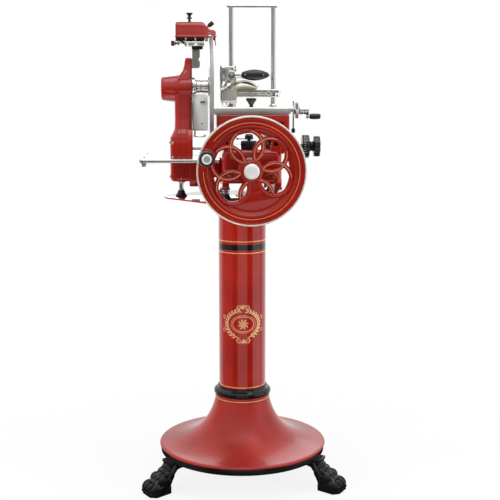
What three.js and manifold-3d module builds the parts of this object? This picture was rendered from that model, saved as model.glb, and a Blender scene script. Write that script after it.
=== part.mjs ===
// A hand crank meat slicer on its pedestal, in millimetres, +Z up.
// The operator stands on the -Y side and turns the flywheel; +X is to the operator's right.
// Sizes are worked out round the column's axis with the floor at zero, and the last lines move
// the whole group so that its origin is the bottom centre of its bounding box.
import * as THREE from "three";
import { mergeVertices } from "three/addons/utils/BufferGeometryUtils.js";
import Module from "manifold-3d";

const wasm = await Module();
wasm.setup();

// Clearances and facets shared by every piece
const gap = 0.3; // between pieces that touch or turn in each other
const over = 2; // how far a cutting tool runs past the face that it cuts
const weld = 0.001; // vertices closer than this are one vertex
const turn = Math.PI * 2;
const degree = Math.PI / 180;
const round = 16; // sides of a turned piece
const fine = 32; // sides of a large turned piece
const small = 8; // sides of a screw or a small knob
const nutSides = 6;
const gearSides = 2; // points down one flank of a tooth

// Pedestal
const foot = { inner: 212, long: 148, height: 97.7, leg: 50, toesOut: 27, pegIn: 23, peg: 6, pegLong: 24 };
const toe = { long: 27, wide: 11, high: 24, setBack: 4, knuckleLong: 23, knuckleHigh: 20, knuckleBack: 24, knuckleUp: 56 };
foot.toe = foot.inner + foot.long; // the claws' ends
foot.pegAt = foot.inner + foot.pegIn;
const ring = { thick: 13, outer: 262, inner: 205 };
ring.low = foot.height + gap;
ring.high = ring.low + ring.thick;
const bell = { rim: 267, lip: 8, wall: 7, neck: 87, high: 151, floor: 12, waist: 103, waistDrop: 74, foot: 150, footRise: 7 };
bell.top = ring.high + bell.high;
const collar = { tall: 42, base: 87, bead: 91.4, beadDrop: 20, crown: 79, crownDrop: 5 };
collar.high = bell.top + collar.tall;
const column = { radius: 74.4, wall: 5, long: 643.7, flange: 98, flangeThick: 12 };
column.top = bell.top + column.long;
const deck = { thick: 5, left: -238, nose: 28, shoulder: -105, right: 138, margin: 5, corner: 14 };
deck.top = column.top + gap + deck.thick;
const tie = { radius: 8, below: 22, above: 14, nut: 14, nutHigh: 12, washer: 22, washerThick: 3 };

// Machine base: box casting, its legs, feet and rails
const base = { left: -67, right: 111, half: 185, clear: 55, high: 100, wall: 8, corner: 14, leg: 22, legLong: 20 };
base.low = deck.top + base.clear;
base.top = base.low + base.high;
base.legLow = base.low - base.legLong;
deck.half = base.half + deck.margin;
const leg = { inset: 13, long: 77 }; // from the base's end, and its length
const stem = { radius: 6, cone: 18.5, waist: 9, coneHigh: 28, flat: 4, left: -190, inset: 13, fromEnd: 63 };
const rail = { radius: 8, above: 17, left: -48, right: 92, inset: 5, block: 10, blockWide: 30, blockHigh: 12 };
rail.half = base.half - rail.inset;
rail.height = base.top + rail.above;
const lock = { x: 14, fromEnd: 35, radius: 24.5, high: 24, knob: 12.5, knobHigh: 16, neck: 5, neckHigh: 4, arm: 2.5, reach: 39 };
lock.y = lock.fromEnd - base.half;

// Shafts
const drive = { x: 17, up: 41 }; // main shaft and cross shaft meet here, over the column
drive.z = base.low + drive.up;
const shaft = { mainRadius: 11, crossRadius: 9, bladeRadius: 9, bush: 4 };
const bearing = { bossRadius: 27, bossOut: 30, webBack: 30, webThick: 16, webHalf: 60, crossFrom: 34, crossTo: 48 };
const bevel = { pitch: 32, teeth: 20, face: 14 };
bearing.bossFront = -base.half - bearing.bossOut;
bearing.webFront = -bevel.pitch - bearing.webBack - bearing.webThick;
const spur = { slack: 0.45, slant: Math.tan(20 * degree), foot: 1.25 }; // shared tooth form

// Flywheel, round the main shaft
const wheel = { clear: 6, deep: 34, band: 159.6, lip: 126, window: 110, hub: 33, web: 20, inset: 6 };
wheel.back = bearing.bossFront - wheel.clear;
wheel.front = wheel.back - wheel.deep;
const petal = { count: 6, at: 72.3, inner: 40.8, outer: 53.8, first: 41 * degree, solid: 2 };
const cap = { radius: 23, high: 7, crown: 3 };
const crank = { at: 137, angle: 162 * degree, out: 105, boss: 26, bossProud: 3 };
crank.front = wheel.front - crank.out;
const grip = { radius: 22.7, waist: 19, pin: 6, head: 14, headThick: 5, collar: 15, collarThick: 5, edge: 4 };

// Blade column, chain and blade
const blade = { above: 64, radius: 159.5, edge: -89, face: -101, thick: 4.5, flat: 95, bevelIn: 148, dish: 150, dishBack: -92.5 };
const chain = { x: -190, wide: 6, high: 3.5, pitch: 6.35, lowerTeeth: 33, upperTeeth: 11, roller: 3.3, plate: 4 };
const block = { left: -223, right: -135, half: 75, below: 3, high: 141, chamfer: 12 };
block.low = base.low - block.below;
block.top = block.low + block.high;
const post = { left: -208, right: -153, neck: 58, waist: 40, boss: 40, head: 20, headLeft: -175, headUp: 86 };
const heel = { drop: 19, rise: 68, half: 60, bridge: 40, bridgeRise: 6 };
heel.low = base.low - heel.drop;
heel.top = base.low + heel.rise;
heel.bridgeLow = base.low + heel.bridgeRise;
const hood = { left: -249, radius: 36, wall: 5 };
const cavity = { margin: 3, depth: 14 };
const nose = { radius: 21.3, right: -104.7, flange: 30, flangeThick: 8, sleeve: 15 };
const screwHead = { radius: 4, high: 2.2, inset: 6 };
const sideScrewShares = [[-0.84, 0.1], [0.84, 0.1], [0.84, 0.85], [-0.84, 0.85]];
const frontScrewShares = [0.88, 0.5];
const trayScrewShares = [-0.35, 0.75];
const seat = { flange: 30, thick: 3.1, plate: 2.5, screw: 4.5, screwHigh: 2.5, screwAt: 21, screws: 4 };

// Tray and deflector
const tray = { left: -312, right: -72, front: -165, back: 190, up: 73, high: 10, skin: 2.5, corner: 12, strip: -82,
  notchGap: 3 };
tray.top = block.low + tray.up;
const shelf = { thick: 6, reach: 22, wide: 110, peg: 6, pegHigh: 12, pegIn: 14 };
const guard = { left: -152.7, right: -106, above: 12, drop: 24, front: -25, thick: 3, lip: 12, fold: 30 };
guard.low = block.top + guard.above;

// Carriage, table and feed
const carriage = { left: -80, right: 138.5, front: -112, back: 148, clear: 29, high: 53, wall: 6 };
carriage.low = rail.height + carriage.clear;
carriage.top = carriage.low + carriage.high;
const slot = { from: 95, to: 120, up: 24, high: 8 };
slot.low = carriage.low + slot.up;
const shoe = { half: 14, below: 11, long: 30, at: 45 };
shoe.low = rail.height - shoe.below;
const rack = { left: 68, right: 76, module: 3, body: 14 };
const sector = { drop: 15, stud: 5.5, hub: 15, spread: 47 * degree, crank: 38, slot: 6.6, pin: 6, arm: 18, armLeft: 54, armRight: 61 };
sector.pivot = base.low - sector.drop;
const bed = { high: 6, strip: 9.4, stripWide: 20, inset: 12, nutFrom: 60, nutLong: 20, nutHalf: 12 };
const table = { left: -87.5, right: 142, front: -106, back: 142, thick: 5, skirt: 4, skirtHigh: 10, lug: 8, lugHalf: 22 };
bed.low = carriage.top + gap;
bed.top = bed.low + bed.high;
bed.stripTop = bed.top + bed.strip;
table.low = bed.stripTop + gap;
table.top = table.low + table.thick;
blade.z = table.top + blade.above;
post.headTop = blade.z + post.headUp;
guard.high = blade.z - guard.drop;
const screw = { radius: 4.5, left: -60, right: 207 };
const ratchet = { left: 166, thick: 8, radius: 30, teeth: 36, depth: 3 };
const pawl = { left: 157, thick: 5, hub: 12, wide: 8, up: 32, down: 55, tip: 14, tipExtra: 3 };
const handle = { left: 177, right: 207.7, hub: 13, arm: 18, armThick: 8, end: 8, grip: 9.5, gripLong: 36, pin: 3.5, foot: 11 };

// Meat clamp
const rods = { left: -29.8, right: 103.7, y: 100, radius: 7.8, free: 184, foot: 13, footHigh: 8, barHigh: 6, barHalf: 9, barOver: 14 };
const head = { up: 30, thick: 25, sleeve: 15, long: 97, collar: 16, half: 8, left: -65, right: -13, bodyUp: 26 };
head.low = table.top + head.up;
head.high = head.low + head.thick;
head.sleeveTop = head.low + head.long;
head.bodyLow = head.low + head.bodyUp;
rods.top = head.sleeveTop + rods.free; // the free length above the crosshead at rest
const nozzle = { front: 14, half: 20, high: 20, x: -40 };
const press = { half: 26, depth: 34, thick: 6, drop: 10, spike: 3, spikeHigh: 10, stem: 7, rows: 3 };
press.top = head.low - press.drop;
const lever = { up: 70, y: 70, pin: 5, hub: 13, half: 8, rod: 5, handleFrom: -2, handleTo: 87, handle: 18, tip: 4.5, ferrule: 8 };
lever.z = head.low + lever.up;
const dome = { left: -42, right: 53, up: 6, tall: 42, front: 60, back: 86, wall: 4 };
dome.low = head.low + dome.up;
dome.high = dome.low + dome.tall;
const cone = { x: 27, y: -30, radius: 16.6, foot: 6, high: 34, crown: 5, cut: 12 };

// Slice thickness knob
const dial = { y: -60, above: 3, from: 187, disc: 36, discThick: 15, neck: 15, neckLong: 15, knob: 30.5, knobThick: 18, shaft: 7, edge: 3 };
dial.z = base.top + dial.above;
const ear = { from: 107.5, to: 125, half: 17, under: 23, over: 16 }; // under and over the knob's axis
ear.low = dial.z - ear.under;
ear.high = dial.z + ear.over;

// Sharpener over the blade
const mast = { right: -129, lap: 31, half: 14 };
mast.low = post.headTop - mast.lap;
const frame = { right: -115, deep: 26, lug: 10, lugHalf: 7, lugUp: 12 };
const cover = { left: -203, right: -80, shoulder: -112, lap: 13.5, step: 24, high: 49, half: 36, wall: 3, flap: 24,
  slope: 10, slit: 3 };
cover.low = blade.z + blade.radius - cover.lap;
cover.stepTop = cover.low + cover.step;
cover.top = cover.low + cover.high;
frame.low = cover.low - frame.deep;
const plunger = { x: -160, rod: 4, base: 9, waist: 5, head: 11, high: 18, headThick: 5, travel: 8 };
const hone = { rod: 3, radius: 7, from: 11, long: 18, inside: 12, out: 2.5, drop: 16, lean: 42 * degree };
hone.x = cover.shoulder + hone.out;
hone.z = cover.top - hone.drop;
const stone = { radius: 15, thick: 9, off: 3.5, spindle: 3, y: -17, small: 11, smallThick: 4, smallOff: 0.8, up: 4 };
stone.z = cover.low + stone.up;
const knurl = { clear: 3, long: 11, radius: 7.5, shank: 3, into: 16, up: 10 };
knurl.right = cover.left - knurl.clear;
knurl.left = knurl.right - knurl.long;
knurl.z = frame.low + knurl.up;

// Colours of the finishes
function finish(colour, roughness, metalness) {
  return new THREE.MeshStandardMaterial({ color: colour, roughness, metalness });
}
const red = finish("#a5161b", 0.25, 0);
const black = finish("#15161a", 0.25, 0);
const chrome = finish("#c9cccf", 0.15, 1);
const steel = finish("#a8a9a6", 0.4, 1);
const bronze = finish("#a9824a", 0.4, 1);
const stoneGrey = finish("#8c8a84", 0.9, 0);

const slicer = new THREE.Group();

// A named piece of the slicer
function add(name, shape, material, group = slicer) {
  shape.computeVertexNormals();
  const mesh = new THREE.Mesh(shape, material);
  mesh.name = name;
  group.add(mesh);
  return mesh;
}

// A three.js shape as a manifold solid
function toSolid(shape) {
  const bare = shape.index ? shape.toNonIndexed() : shape.clone();
  bare.deleteAttribute("normal");
  bare.deleteAttribute("uv");
  const merged = mergeVertices(bare, weld);
  const vertProperties = merged.attributes.position.array;
  const triVerts = new Uint32Array(merged.index.array);
  return new wasm.Manifold(new wasm.Mesh({ numProp: 3, vertProperties, triVerts }));
}

// A manifold solid as a three.js shape
function toShape(solid) {
  const mesh = solid.getMesh();
  const shape = new THREE.BufferGeometry();
  shape.setAttribute("position", new THREE.BufferAttribute(new Float32Array(mesh.vertProperties), 3));
  shape.setIndex(new THREE.BufferAttribute(new Uint32Array(mesh.triVerts), 1));
  return shape.toNonIndexed();
}

function join(...shapes) {
  return toShape(shapes.map(toSolid).reduce((whole, part) => whole.add(part)));
}

function cut(shape, ...tools) {
  return toShape(tools.map(toSolid).reduce((whole, tool) => whole.subtract(tool), toSolid(shape)));
}

function common(shape, other) {
  return toShape(toSolid(shape).intersect(toSolid(other)));
}

// An outline's two coordinates are y, z along x; x, z along y; and x, y along z.
const unitX = new THREE.Vector3(1, 0, 0);
const unitY = new THREE.Vector3(0, 1, 0);
const unitZ = new THREE.Vector3(0, 0, 1);
const layAlong = {
  x: new THREE.Matrix4().makeBasis(unitY, unitZ, unitX),
  y: new THREE.Matrix4().makeBasis(unitX, unitZ, unitY.clone().negate()),
  z: new THREE.Matrix4(),
};
const spinAlong = {
  x: new THREE.Matrix4().makeRotationZ(-turn / 4),
  y: new THREE.Matrix4(),
  z: new THREE.Matrix4().makeRotationX(turn / 4),
};

// An outline carried straight along an axis from low to high
function prism(outline, axis, low, high) {
  const corners = () => outline.map(([u, v]) => new THREE.Vector2(u, v));
  const flat = outline instanceof THREE.Shape ? outline : new THREE.Shape(corners());
  const shape = new THREE.ExtrudeGeometry(flat, { depth: high - low, bevelEnabled: false });
  shape.translate(0, 0, axis === "y" ? -high : low);
  return shape.applyMatrix4(layAlong[axis]);
}

// A block between two corners
function block3([x0, y0, z0], [x1, y1, z1]) {
  return prism([[x0, y0], [x1, y0], [x1, y1], [x0, y1]], "z", z0, z1);
}

// A profile of [radius, place along the axis], turned about an axis through a centre
function spun(profile, axis, centre, sides = round) {
  const shape = new THREE.LatheGeometry(profile.map(([r, t]) => new THREE.Vector2(r, t)), sides);
  return shape.applyMatrix4(spinAlong[axis]).translate(...centre);
}

function rod(axis, low, high, radius, centre, sides = round) {
  return spun([[0, low], [radius, low], [radius, high], [0, high]], axis, centre, sides);
}

function tube(axis, low, high, outer, inner, centre, sides = round) {
  return spun([[inner, low], [outer, low], [outer, high], [inner, high], [inner, low]], axis, centre, sides);
}

// A rectangle with round corners, about the middle of its sides
function rounded(x0, y0, x1, y1, radius) {
  const shape = new THREE.Shape();
  shape.moveTo(x0 + radius, y0).lineTo(x1 - radius, y0).absarc(x1 - radius, y0 + radius, radius, -turn / 4, 0);
  shape.lineTo(x1, y1 - radius).absarc(x1 - radius, y1 - radius, radius, 0, turn / 4);
  shape.lineTo(x0 + radius, y1).absarc(x0 + radius, y1 - radius, radius, turn / 4, turn / 2);
  shape.lineTo(x0, y0 + radius).absarc(x0 + radius, y0 + radius, radius, turn / 2, (turn * 3) / 4);
  return new THREE.Shape(shape.getPoints(cornerSteps));
}
const cornerSteps = 5;

// The outline round two wheels one above the other, as a belt runs round them
function belt(lowRadius, lowZ, highRadius, highZ, steps = 12) {
  const tilt = Math.asin((lowRadius - highRadius) / (highZ - lowZ));
  const outline = [];
  for (let i = 0; i <= steps; i++) {
    const angle = tilt + ((turn / 2 - 2 * tilt) * i) / steps;
    outline.push([highRadius * Math.cos(angle), highZ + highRadius * Math.sin(angle)]);
  }
  for (let i = 0; i <= steps; i++) {
    const angle = turn / 2 - tilt + ((turn / 2 + 2 * tilt) * i) / steps;
    outline.push([lowRadius * Math.cos(angle), lowZ + lowRadius * Math.sin(angle)]);
  }
  return outline;
}

// Half the thickness of a tooth at a height over its pitch line
function halfTooth(module, height) {
  return (module * Math.PI) / 4 - height * spur.slant - (spur.slack * module) / rack.module;
}

// The outline of a toothed wheel; one tooth points along the first axis
function gearOutline(teeth, module) {
  const pitch = (teeth * module) / 2;
  const outline = [];
  for (let tooth = 0; tooth < teeth; tooth++) {
    const middle = (turn * tooth) / teeth;
    for (const side of [-1, 1])
      for (let step = 0; step < gearSides; step++) {
        const share = side < 0 ? step / (gearSides - 1) : 1 - step / (gearSides - 1);
        const height = module * (share * (1 + spur.foot) - spur.foot);
        const radius = pitch + height;
        const angle = middle + (side * halfTooth(module, height)) / pitch;
        outline.push([radius * Math.cos(angle), radius * Math.sin(angle)]);
      }
  }
  return outline;
}

// Pedestal: three paw feet, a foot ring, the bell, the collar and the column
const legShares = [[0, 1], [0.14, 0.8], [0.26, 0.56], [0.32, 0.3], [0.36, 0], [0.84, 0], [0.9, 0.1], [0.9, 0.4],
  [0.8, 0.62], [0.66, 0.8], [0.56, 1]];
const toeShares = [-1, -0.36, 0.36, 1];
function pawFoot() {
  const length = foot.toe - foot.inner;
  const outline = legShares.map(([u, v]) => [foot.inner + u * length, v * foot.height]);
  const pieces = [prism(outline, "y", -foot.leg / 2, foot.leg / 2)];
  for (const share of toeShares) {
    const reach = foot.toe - toe.long - (Math.abs(share) === 1 ? toe.setBack : 0);
    const claw = new THREE.SphereGeometry(1, 8, 4).scale(toe.long, toe.wide, toe.high);
    pieces.push(claw.translate(reach, share * foot.toesOut, toe.high * 0.8));
    const knuckle = new THREE.SphereGeometry(1, 8, 4).scale(toe.knuckleLong, toe.wide, toe.knuckleHigh);
    pieces.push(knuckle.translate(reach - toe.knuckleBack, share * foot.toesOut * 0.85, toe.knuckleUp));
  }
  const floor = block3([foot.inner - over, -foot.toe, -foot.toe], [foot.toe + over, foot.toe, 0]);
  const roof = block3([foot.inner - over, -foot.toe, foot.height], [foot.toe + over, foot.toe, foot.toe]);
  const hole = rod("z", ring.low - foot.pegLong - gap, foot.height + over, foot.peg + gap, [foot.pegAt, 0, 0], small);
  return cut(join(...pieces), floor, roof, hole);
}
const footAngles = { left: 210 * degree, right: 330 * degree, rear: 90 * degree };
for (const [side, angle] of Object.entries(footAngles)) {
  const paw = add("lion_foot_" + side, pawFoot(), black);
  paw.rotation.z = angle;
}

const pegs = Object.values(footAngles).map((angle) => rod("z", ring.low - foot.pegLong, ring.low + over, foot.peg,
  [foot.pegAt, 0, 0], small).rotateZ(angle));
add("base_ring", join(tube("z", ring.low, ring.high, ring.outer, ring.inner, [0, 0, 0], fine), ...pegs), black);

const bellLow = ring.high + gap;
const bellCurve = new THREE.CubicBezierCurve(
  new THREE.Vector2(bell.neck, bell.top), new THREE.Vector2(bell.waist, bell.top - bell.waistDrop),
  new THREE.Vector2(bell.foot, bellLow + bell.lip + bell.footRise), new THREE.Vector2(bell.rim - bell.lip, bellLow + bell.lip));
const bellSteps = 6;
const outside = bellCurve.getPoints(bellSteps);
const inside = outside.map((p, i) => {
  const along = bellCurve.getTangent(i / bellSteps);
  return new THREE.Vector2(p.x + along.y * bell.wall, p.y - along.x * bell.wall);
});
const bellProfile = [
  ...inside.filter((p) => p.y < bell.top - bell.floor && p.x < bell.rim - bell.lip - bell.wall).reverse(),
].map((p) => [p.x, Math.max(p.y, bellLow)]);
const neckInside = bellProfile[bellProfile.length - 1][0];
const bellOutline = [
  [bell.rim - bell.lip - bell.wall, bellLow], [bell.rim - gap, bellLow], [bell.rim, bellLow + bell.lip / 4],
  [bell.rim - bell.lip / 4, bellLow + bell.lip * 0.8], ...outside.reverse().map((p) => [p.x, p.y]),
  [tie.radius + gap, bell.top], [tie.radius + gap, bell.top - bell.floor], [neckInside, bell.top - bell.floor],
  ...bellProfile.reverse(), [bell.rim - bell.lip - bell.wall, bellLow],
];
add("base_bell", spun(bellOutline, "z", [0, 0, 0], fine), red);

const collarLow = bell.top + gap;
const collarBore = column.radius + gap;
add("collar_ring", spun([
  [collarBore, collarLow], [collar.base, collarLow], [collar.base, collar.high - collar.beadDrop * 1.6],
  [collar.bead, collar.high - collar.beadDrop], [collar.base, collar.high - collar.beadDrop * 0.5],
  [collar.crown, collar.high - collar.crownDrop], [collar.crown, collar.high], [collarBore, collar.high],
  [collarBore, collarLow],
], "z", [0, 0, 0], fine), black);

const columnBore = column.radius - column.wall;
add("column_tube", spun([
  [columnBore, collarLow], [column.radius, collarLow], [column.radius, column.top - column.flangeThick],
  [column.flange, column.top - column.flangeThick], [column.flange, column.top], [columnBore, column.top],
  [columnBore, collarLow],
], "z", [0, 0, 0], fine), red);

const deckLow = deck.top - deck.thick;
const deckOutline = new THREE.Shape();
deckOutline.moveTo(deck.left, -deck.nose).lineTo(deck.shoulder, -deck.half);
deckOutline.lineTo(deck.right - deck.corner, -deck.half);
deckOutline.absarc(deck.right - deck.corner, -deck.half + deck.corner, deck.corner, -turn / 4, 0);
deckOutline.lineTo(deck.right, deck.half - deck.corner);
deckOutline.absarc(deck.right - deck.corner, deck.half - deck.corner, deck.corner, 0, turn / 4);
deckOutline.lineTo(deck.shoulder, deck.half).lineTo(deck.left, deck.nose);
deckOutline.quadraticCurveTo(deck.left - deck.corner, 0, deck.left, -deck.nose);
const deckPlate = prism(new THREE.Shape(deckOutline.getPoints(cornerSteps)), "z", deckLow, deck.top);
add("stand_plate", cut(deckPlate, rod("z", deckLow - over, deck.top + over, tie.radius + gap, [0, 0, 0])), red);

// Tie rod from under the bell's floor through the column to the plate, with its nuts and washers
const tieLow = bell.top - bell.floor - tie.below;
const upperNut = deck.top + gap;
const lowerNut = bell.top - bell.floor - gap;
add("tie_rod", join(
  rod("z", tieLow, deck.top + tie.above, tie.radius, [0, 0, 0]),
  rod("z", upperNut, upperNut + tie.washerThick, tie.washer, [0, 0, 0]),
  rod("z", upperNut, upperNut + tie.nutHigh, tie.nut, [0, 0, 0], nutSides),
  rod("z", lowerNut - tie.washerThick, lowerNut, tie.washer, [0, 0, 0]),
  rod("z", lowerNut - tie.nutHigh, lowerNut, tie.nut, [0, 0, 0], nutSides),
), steel);

// Machine base: an open-bottomed box with legs, bearings for both shafts and blocks for the rails
const baseOuter = prism(rounded(base.left, -base.half, base.right, base.half, base.corner), "z", base.low, base.top);
const baseInner = prism(rounded(base.left + base.wall, -base.half + base.wall, base.right - base.wall,
  base.half - base.wall, base.corner - base.wall), "z", base.low - over, base.top - base.wall);
const baseParts = [cut(baseOuter, baseInner)];
for (const [low, high] of [[base.left, base.left + base.leg], [base.right - base.leg, base.right]])
  for (const side of [-1, 1]) {
    const far = base.half - leg.inset;
    const [from, to] = [side * (far - leg.long), side * far].sort((a, b) => a - b);
    baseParts.push(block3([low, from, base.legLow], [high, to, base.low + base.wall]));
  }
const railAxes = [rail.left, rail.right];
for (const x of railAxes)
  for (const side of [-1, 1]) {
    const [from, to] = [side * (rail.half - rail.block), side * rail.half].sort((a, b) => a - b);
    const low = base.top - base.wall;
    baseParts.push(block3([x - rail.blockWide / 2, from, low], [x + rail.blockWide / 2, to, rail.height + rail.blockHigh]));
  }
const innerTop = base.top - base.wall / 2;
baseParts.push(rod("y", bearing.bossFront, -base.half + base.wall, bearing.bossRadius, [drive.x, 0, drive.z]));
baseParts.push(block3([base.left + base.wall / 2, bearing.webFront, drive.z - bearing.bossRadius],
  [bearing.crossTo, bearing.webFront + bearing.webThick, innerTop]));
baseParts.push(block3([bearing.crossFrom, -bevel.face, drive.z - bearing.bossRadius],
  [bearing.crossTo, bearing.webHalf, innerTop]));
baseParts.push(block3([ear.from, dial.y - ear.half, ear.low], [ear.to, dial.y + ear.half, ear.high]));
const pivotLug = sector.hub;
baseParts.push(block3([base.right - base.wall, -pivotLug, sector.pivot - sector.hub / 2 - sector.stud],
  [base.right, pivotLug, base.low + base.wall]));
baseParts.push(rod("x", rack.left, base.right - base.wall / 2, sector.stud, [0, 0, sector.pivot]));
baseParts.push(rod("x", rack.right + gap, base.right - base.wall / 2, sector.stud + base.wall / 2, [0, 0, sector.pivot]));
const mainBore = shaft.mainRadius + shaft.bush + gap + gap;
const crossBore = shaft.crossRadius + gap;
const sectorTip = rail.height + 2 - sector.pivot + rack.module;
const mouthHalf = Math.sqrt(sectorTip ** 2 - (base.top - base.wall - sector.pivot) ** 2) + over;
const baseCuts = [
  rod("y", bearing.bossFront - over, bearing.webFront + bearing.webThick + over, mainBore, [drive.x, 0, drive.z]),
  rod("x", base.left - over, base.left + base.wall + over, crossBore, [0, 0, drive.z]),
  rod("x", bearing.crossFrom - over, bearing.crossTo + over, crossBore, [0, 0, drive.z]),
  block3([rack.left - over, -mouthHalf, base.top - base.wall - over], [rack.right + over, mouthHalf, base.top + over]),
  rod("x", ear.from - over, ear.to + over, dial.shaft + gap, [0, dial.y, dial.z]),
  ...railAxes.map((x) => rod("y", -rail.half - over, rail.half + over, rail.radius + gap, [x, 0, rail.height])),
];
add("base_casting", cut(join(...baseParts), ...baseCuts), red);

add("guide_rail_left", rod("y", -rail.half, rail.half, rail.radius, [rail.left, 0, rail.height]), steel);
add("guide_rail_right", rod("y", -rail.half, rail.half, rail.radius, [rail.right, 0, rail.height]), steel);

// Five levelling feet: one under the chain case, four under the legs
const leftFeet = base.left + stem.inset;
const rightFeet = base.right - stem.inset;
const feetAlong = base.half - stem.fromEnd;
const feetPlaces = {
  column: [stem.left, 0, block.low],
  front_left: [leftFeet, -feetAlong, base.legLow],
  front_right: [rightFeet, -feetAlong, base.legLow],
  rear_left: [leftFeet, feetAlong, base.legLow],
  rear_right: [rightFeet, feetAlong, base.legLow],
};
for (const [place, [x, y, top]] of Object.entries(feetPlaces))
  add("levelling_foot_" + place, spun([
    [0, deck.top + gap], [stem.cone, deck.top + gap], [stem.cone, deck.top + gap + stem.flat],
    [stem.waist, deck.top + stem.coneHigh], [stem.radius, deck.top + stem.coneHigh], [stem.radius, top - gap],
    [0, top - gap],
  ], "z", [x, y, 0], small), black);

// Knob that locks the carriage, on the front of the base
const lockLow = base.top + gap;
const lockNeck = lockLow + lock.high;
const lockKnob = lockNeck + lock.neckHigh;
const lockBody = spun([
  [0, lockLow], [lock.radius, lockLow], [lock.radius, lockNeck], [lock.neck, lockNeck], [lock.neck, lockKnob],
  [lock.knob, lockKnob], [lock.knob, lockKnob + lock.knobHigh * 0.7], [lock.knob * 0.6, lockKnob + lock.knobHigh],
  [0, lockKnob + lock.knobHigh],
], "z", [lock.x, lock.y, 0]);
const lockArm = rod("x", lock.x - lock.reach, lock.x, lock.arm, [0, lock.y, lockKnob + lock.arm], small);
add("carriage_lock_knob", join(lockBody, lockArm), black);

// Blade column, right half, with the bridge that bolts it to the base
const chainReach = (chain.pitch / 2) / Math.sin(turn / 2 / chain.lowerTeeth) + chain.roller;
const chainUpper = (chain.pitch / 2) / Math.sin(turn / 2 / chain.upperTeeth) + chain.roller;
const cavityOutline = belt(chainReach + cavity.margin, drive.z, chainUpper + cavity.margin, blade.z);
const neckLow = block.top;
const neckHigh = blade.z - post.boss;
const postShape = [
  [-post.neck, neckLow - over], [post.neck, neckLow - over], [post.neck, neckLow], [post.waist, neckHigh],
  [post.waist, blade.z], [-post.waist, blade.z], [-post.waist, neckHigh], [-post.neck, neckLow],
];
const blockShape = [
  [-block.half, block.low], [block.half, block.low], [block.half, block.top - block.chamfer],
  [block.half - block.chamfer, block.top], [-block.half + block.chamfer, block.top],
  [-block.half, block.top - block.chamfer],
];
const split = chain.x; // the case and the column meet in the chain's plane
const headShape = [
  [post.headLeft, blade.z], [post.right, blade.z], [post.right, post.headTop],
  [post.headLeft + block.chamfer / 2, post.headTop], [post.headLeft, post.headTop - block.chamfer],
];
const bladeColumn = join(
  prism(blockShape, "x", split, post.right),
  prism(postShape, "x", split, post.right),
  rod("x", split, post.right, post.boss, [0, 0, blade.z]),
  prism(headShape, "y", -post.head, post.head),
  block3([post.right - over, -heel.half, heel.low], [block.right, heel.half, heel.top]),
  block3([block.right - over, -heel.bridge, heel.bridgeLow], [base.left - gap, heel.bridge, heel.top]),
);
add("blade_column", cut(bladeColumn,
  prism(cavityOutline, "x", split - over, split + cavity.depth),
  rod("x", split, base.left + over, crossBore, [0, 0, drive.z]),
  rod("x", split, post.right + over, nose.sleeve + gap, [0, 0, blade.z]),
), red);

// Chain case, left half, with the hood over the end of the blade shaft
const caseRight = split - gap;
const chainCase = join(
  prism(blockShape, "x", block.left, caseRight),
  prism(postShape, "x", post.left, caseRight),
  rod("x", post.left, caseRight, post.boss, [0, 0, blade.z]),
  spun([[0, hood.left], [hood.radius, hood.left], [post.boss - gap, post.left], [0, post.left + over]], "x", [0, 0, blade.z]),
);
const bladeBore = shaft.bladeRadius + gap;
const blockHeight = block.top - block.low;
const sideScrews = sideScrewShares.map(([u, v]) => rod("x", block.left - screwHead.high, block.left + over,
  screwHead.radius, [0, u * block.half, block.low + v * blockHeight], small));
const frontScrews = frontScrewShares.map((v) => rod("y", -block.half - screwHead.high, -block.half + over,
  screwHead.radius, [block.left + screwHead.inset, 0, block.low + v * blockHeight], small));
const ledgeTop = tray.top - tray.skin - gap;
const caseLedge = block3([block.left - shelf.reach, -shelf.wide / 2, ledgeTop - shelf.thick],
  [block.left + over, shelf.wide / 2, ledgeTop]);
add("chain_case", cut(join(chainCase, caseLedge, ...sideScrews, ...frontScrews),
  prism(cavityOutline, "x", post.left + hood.wall, caseRight + over),
  rod("x", hood.left + hood.wall, post.left + over + hood.wall, bladeBore, [0, 0, blade.z]),
  rod("x", block.left + hood.wall, post.left + over + hood.wall, crossBore, [0, 0, drive.z]),
), red);

// Bearing cartridge of the blade shaft: a sleeve in the column and a nose in front of it
const noseLeft = post.right + gap;
const sleeveLeft = split + cavity.depth + gap;
add("spindle_nose", spun([
  [bladeBore, sleeveLeft], [nose.sleeve, sleeveLeft], [nose.sleeve, noseLeft], [nose.flange, noseLeft],
  [nose.flange, noseLeft + nose.flangeThick], [nose.radius, noseLeft + nose.flangeThick], [nose.radius, nose.right],
  [bladeBore, nose.right], [bladeBore, sleeveLeft],
], "x", [0, 0, blade.z]), chrome);

// Bronze bush of the main shaft, through the front boss and the inner web
add("main_bush", tube("y", bearing.bossFront + gap, bearing.webFront + bearing.webThick, mainBore - gap,
  shaft.mainRadius + gap, [drive.x, 0, drive.z]), bronze);

// Chain: one closed band just outside the teeth of both sprockets
const chainInner = chain.roller + gap;
const chainPitchLow = chainReach - chain.roller;
const chainPitchHigh = chainUpper - chain.roller;
const loopOutside = belt(chainPitchLow + chainInner + chain.high / 2, drive.z, chainPitchHigh + chainInner + chain.high / 2, blade.z);
const loopInside = belt(chainPitchLow + chainInner - gap, drive.z, chainPitchHigh + chainInner - gap, blade.z);
add("drive_chain", cut(
  prism(loopOutside, "x", chain.x - chain.wide / 2, chain.x + chain.wide / 2),
  prism(loopInside, "x", chain.x - chain.wide, chain.x + chain.wide),
), steel);

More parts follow.
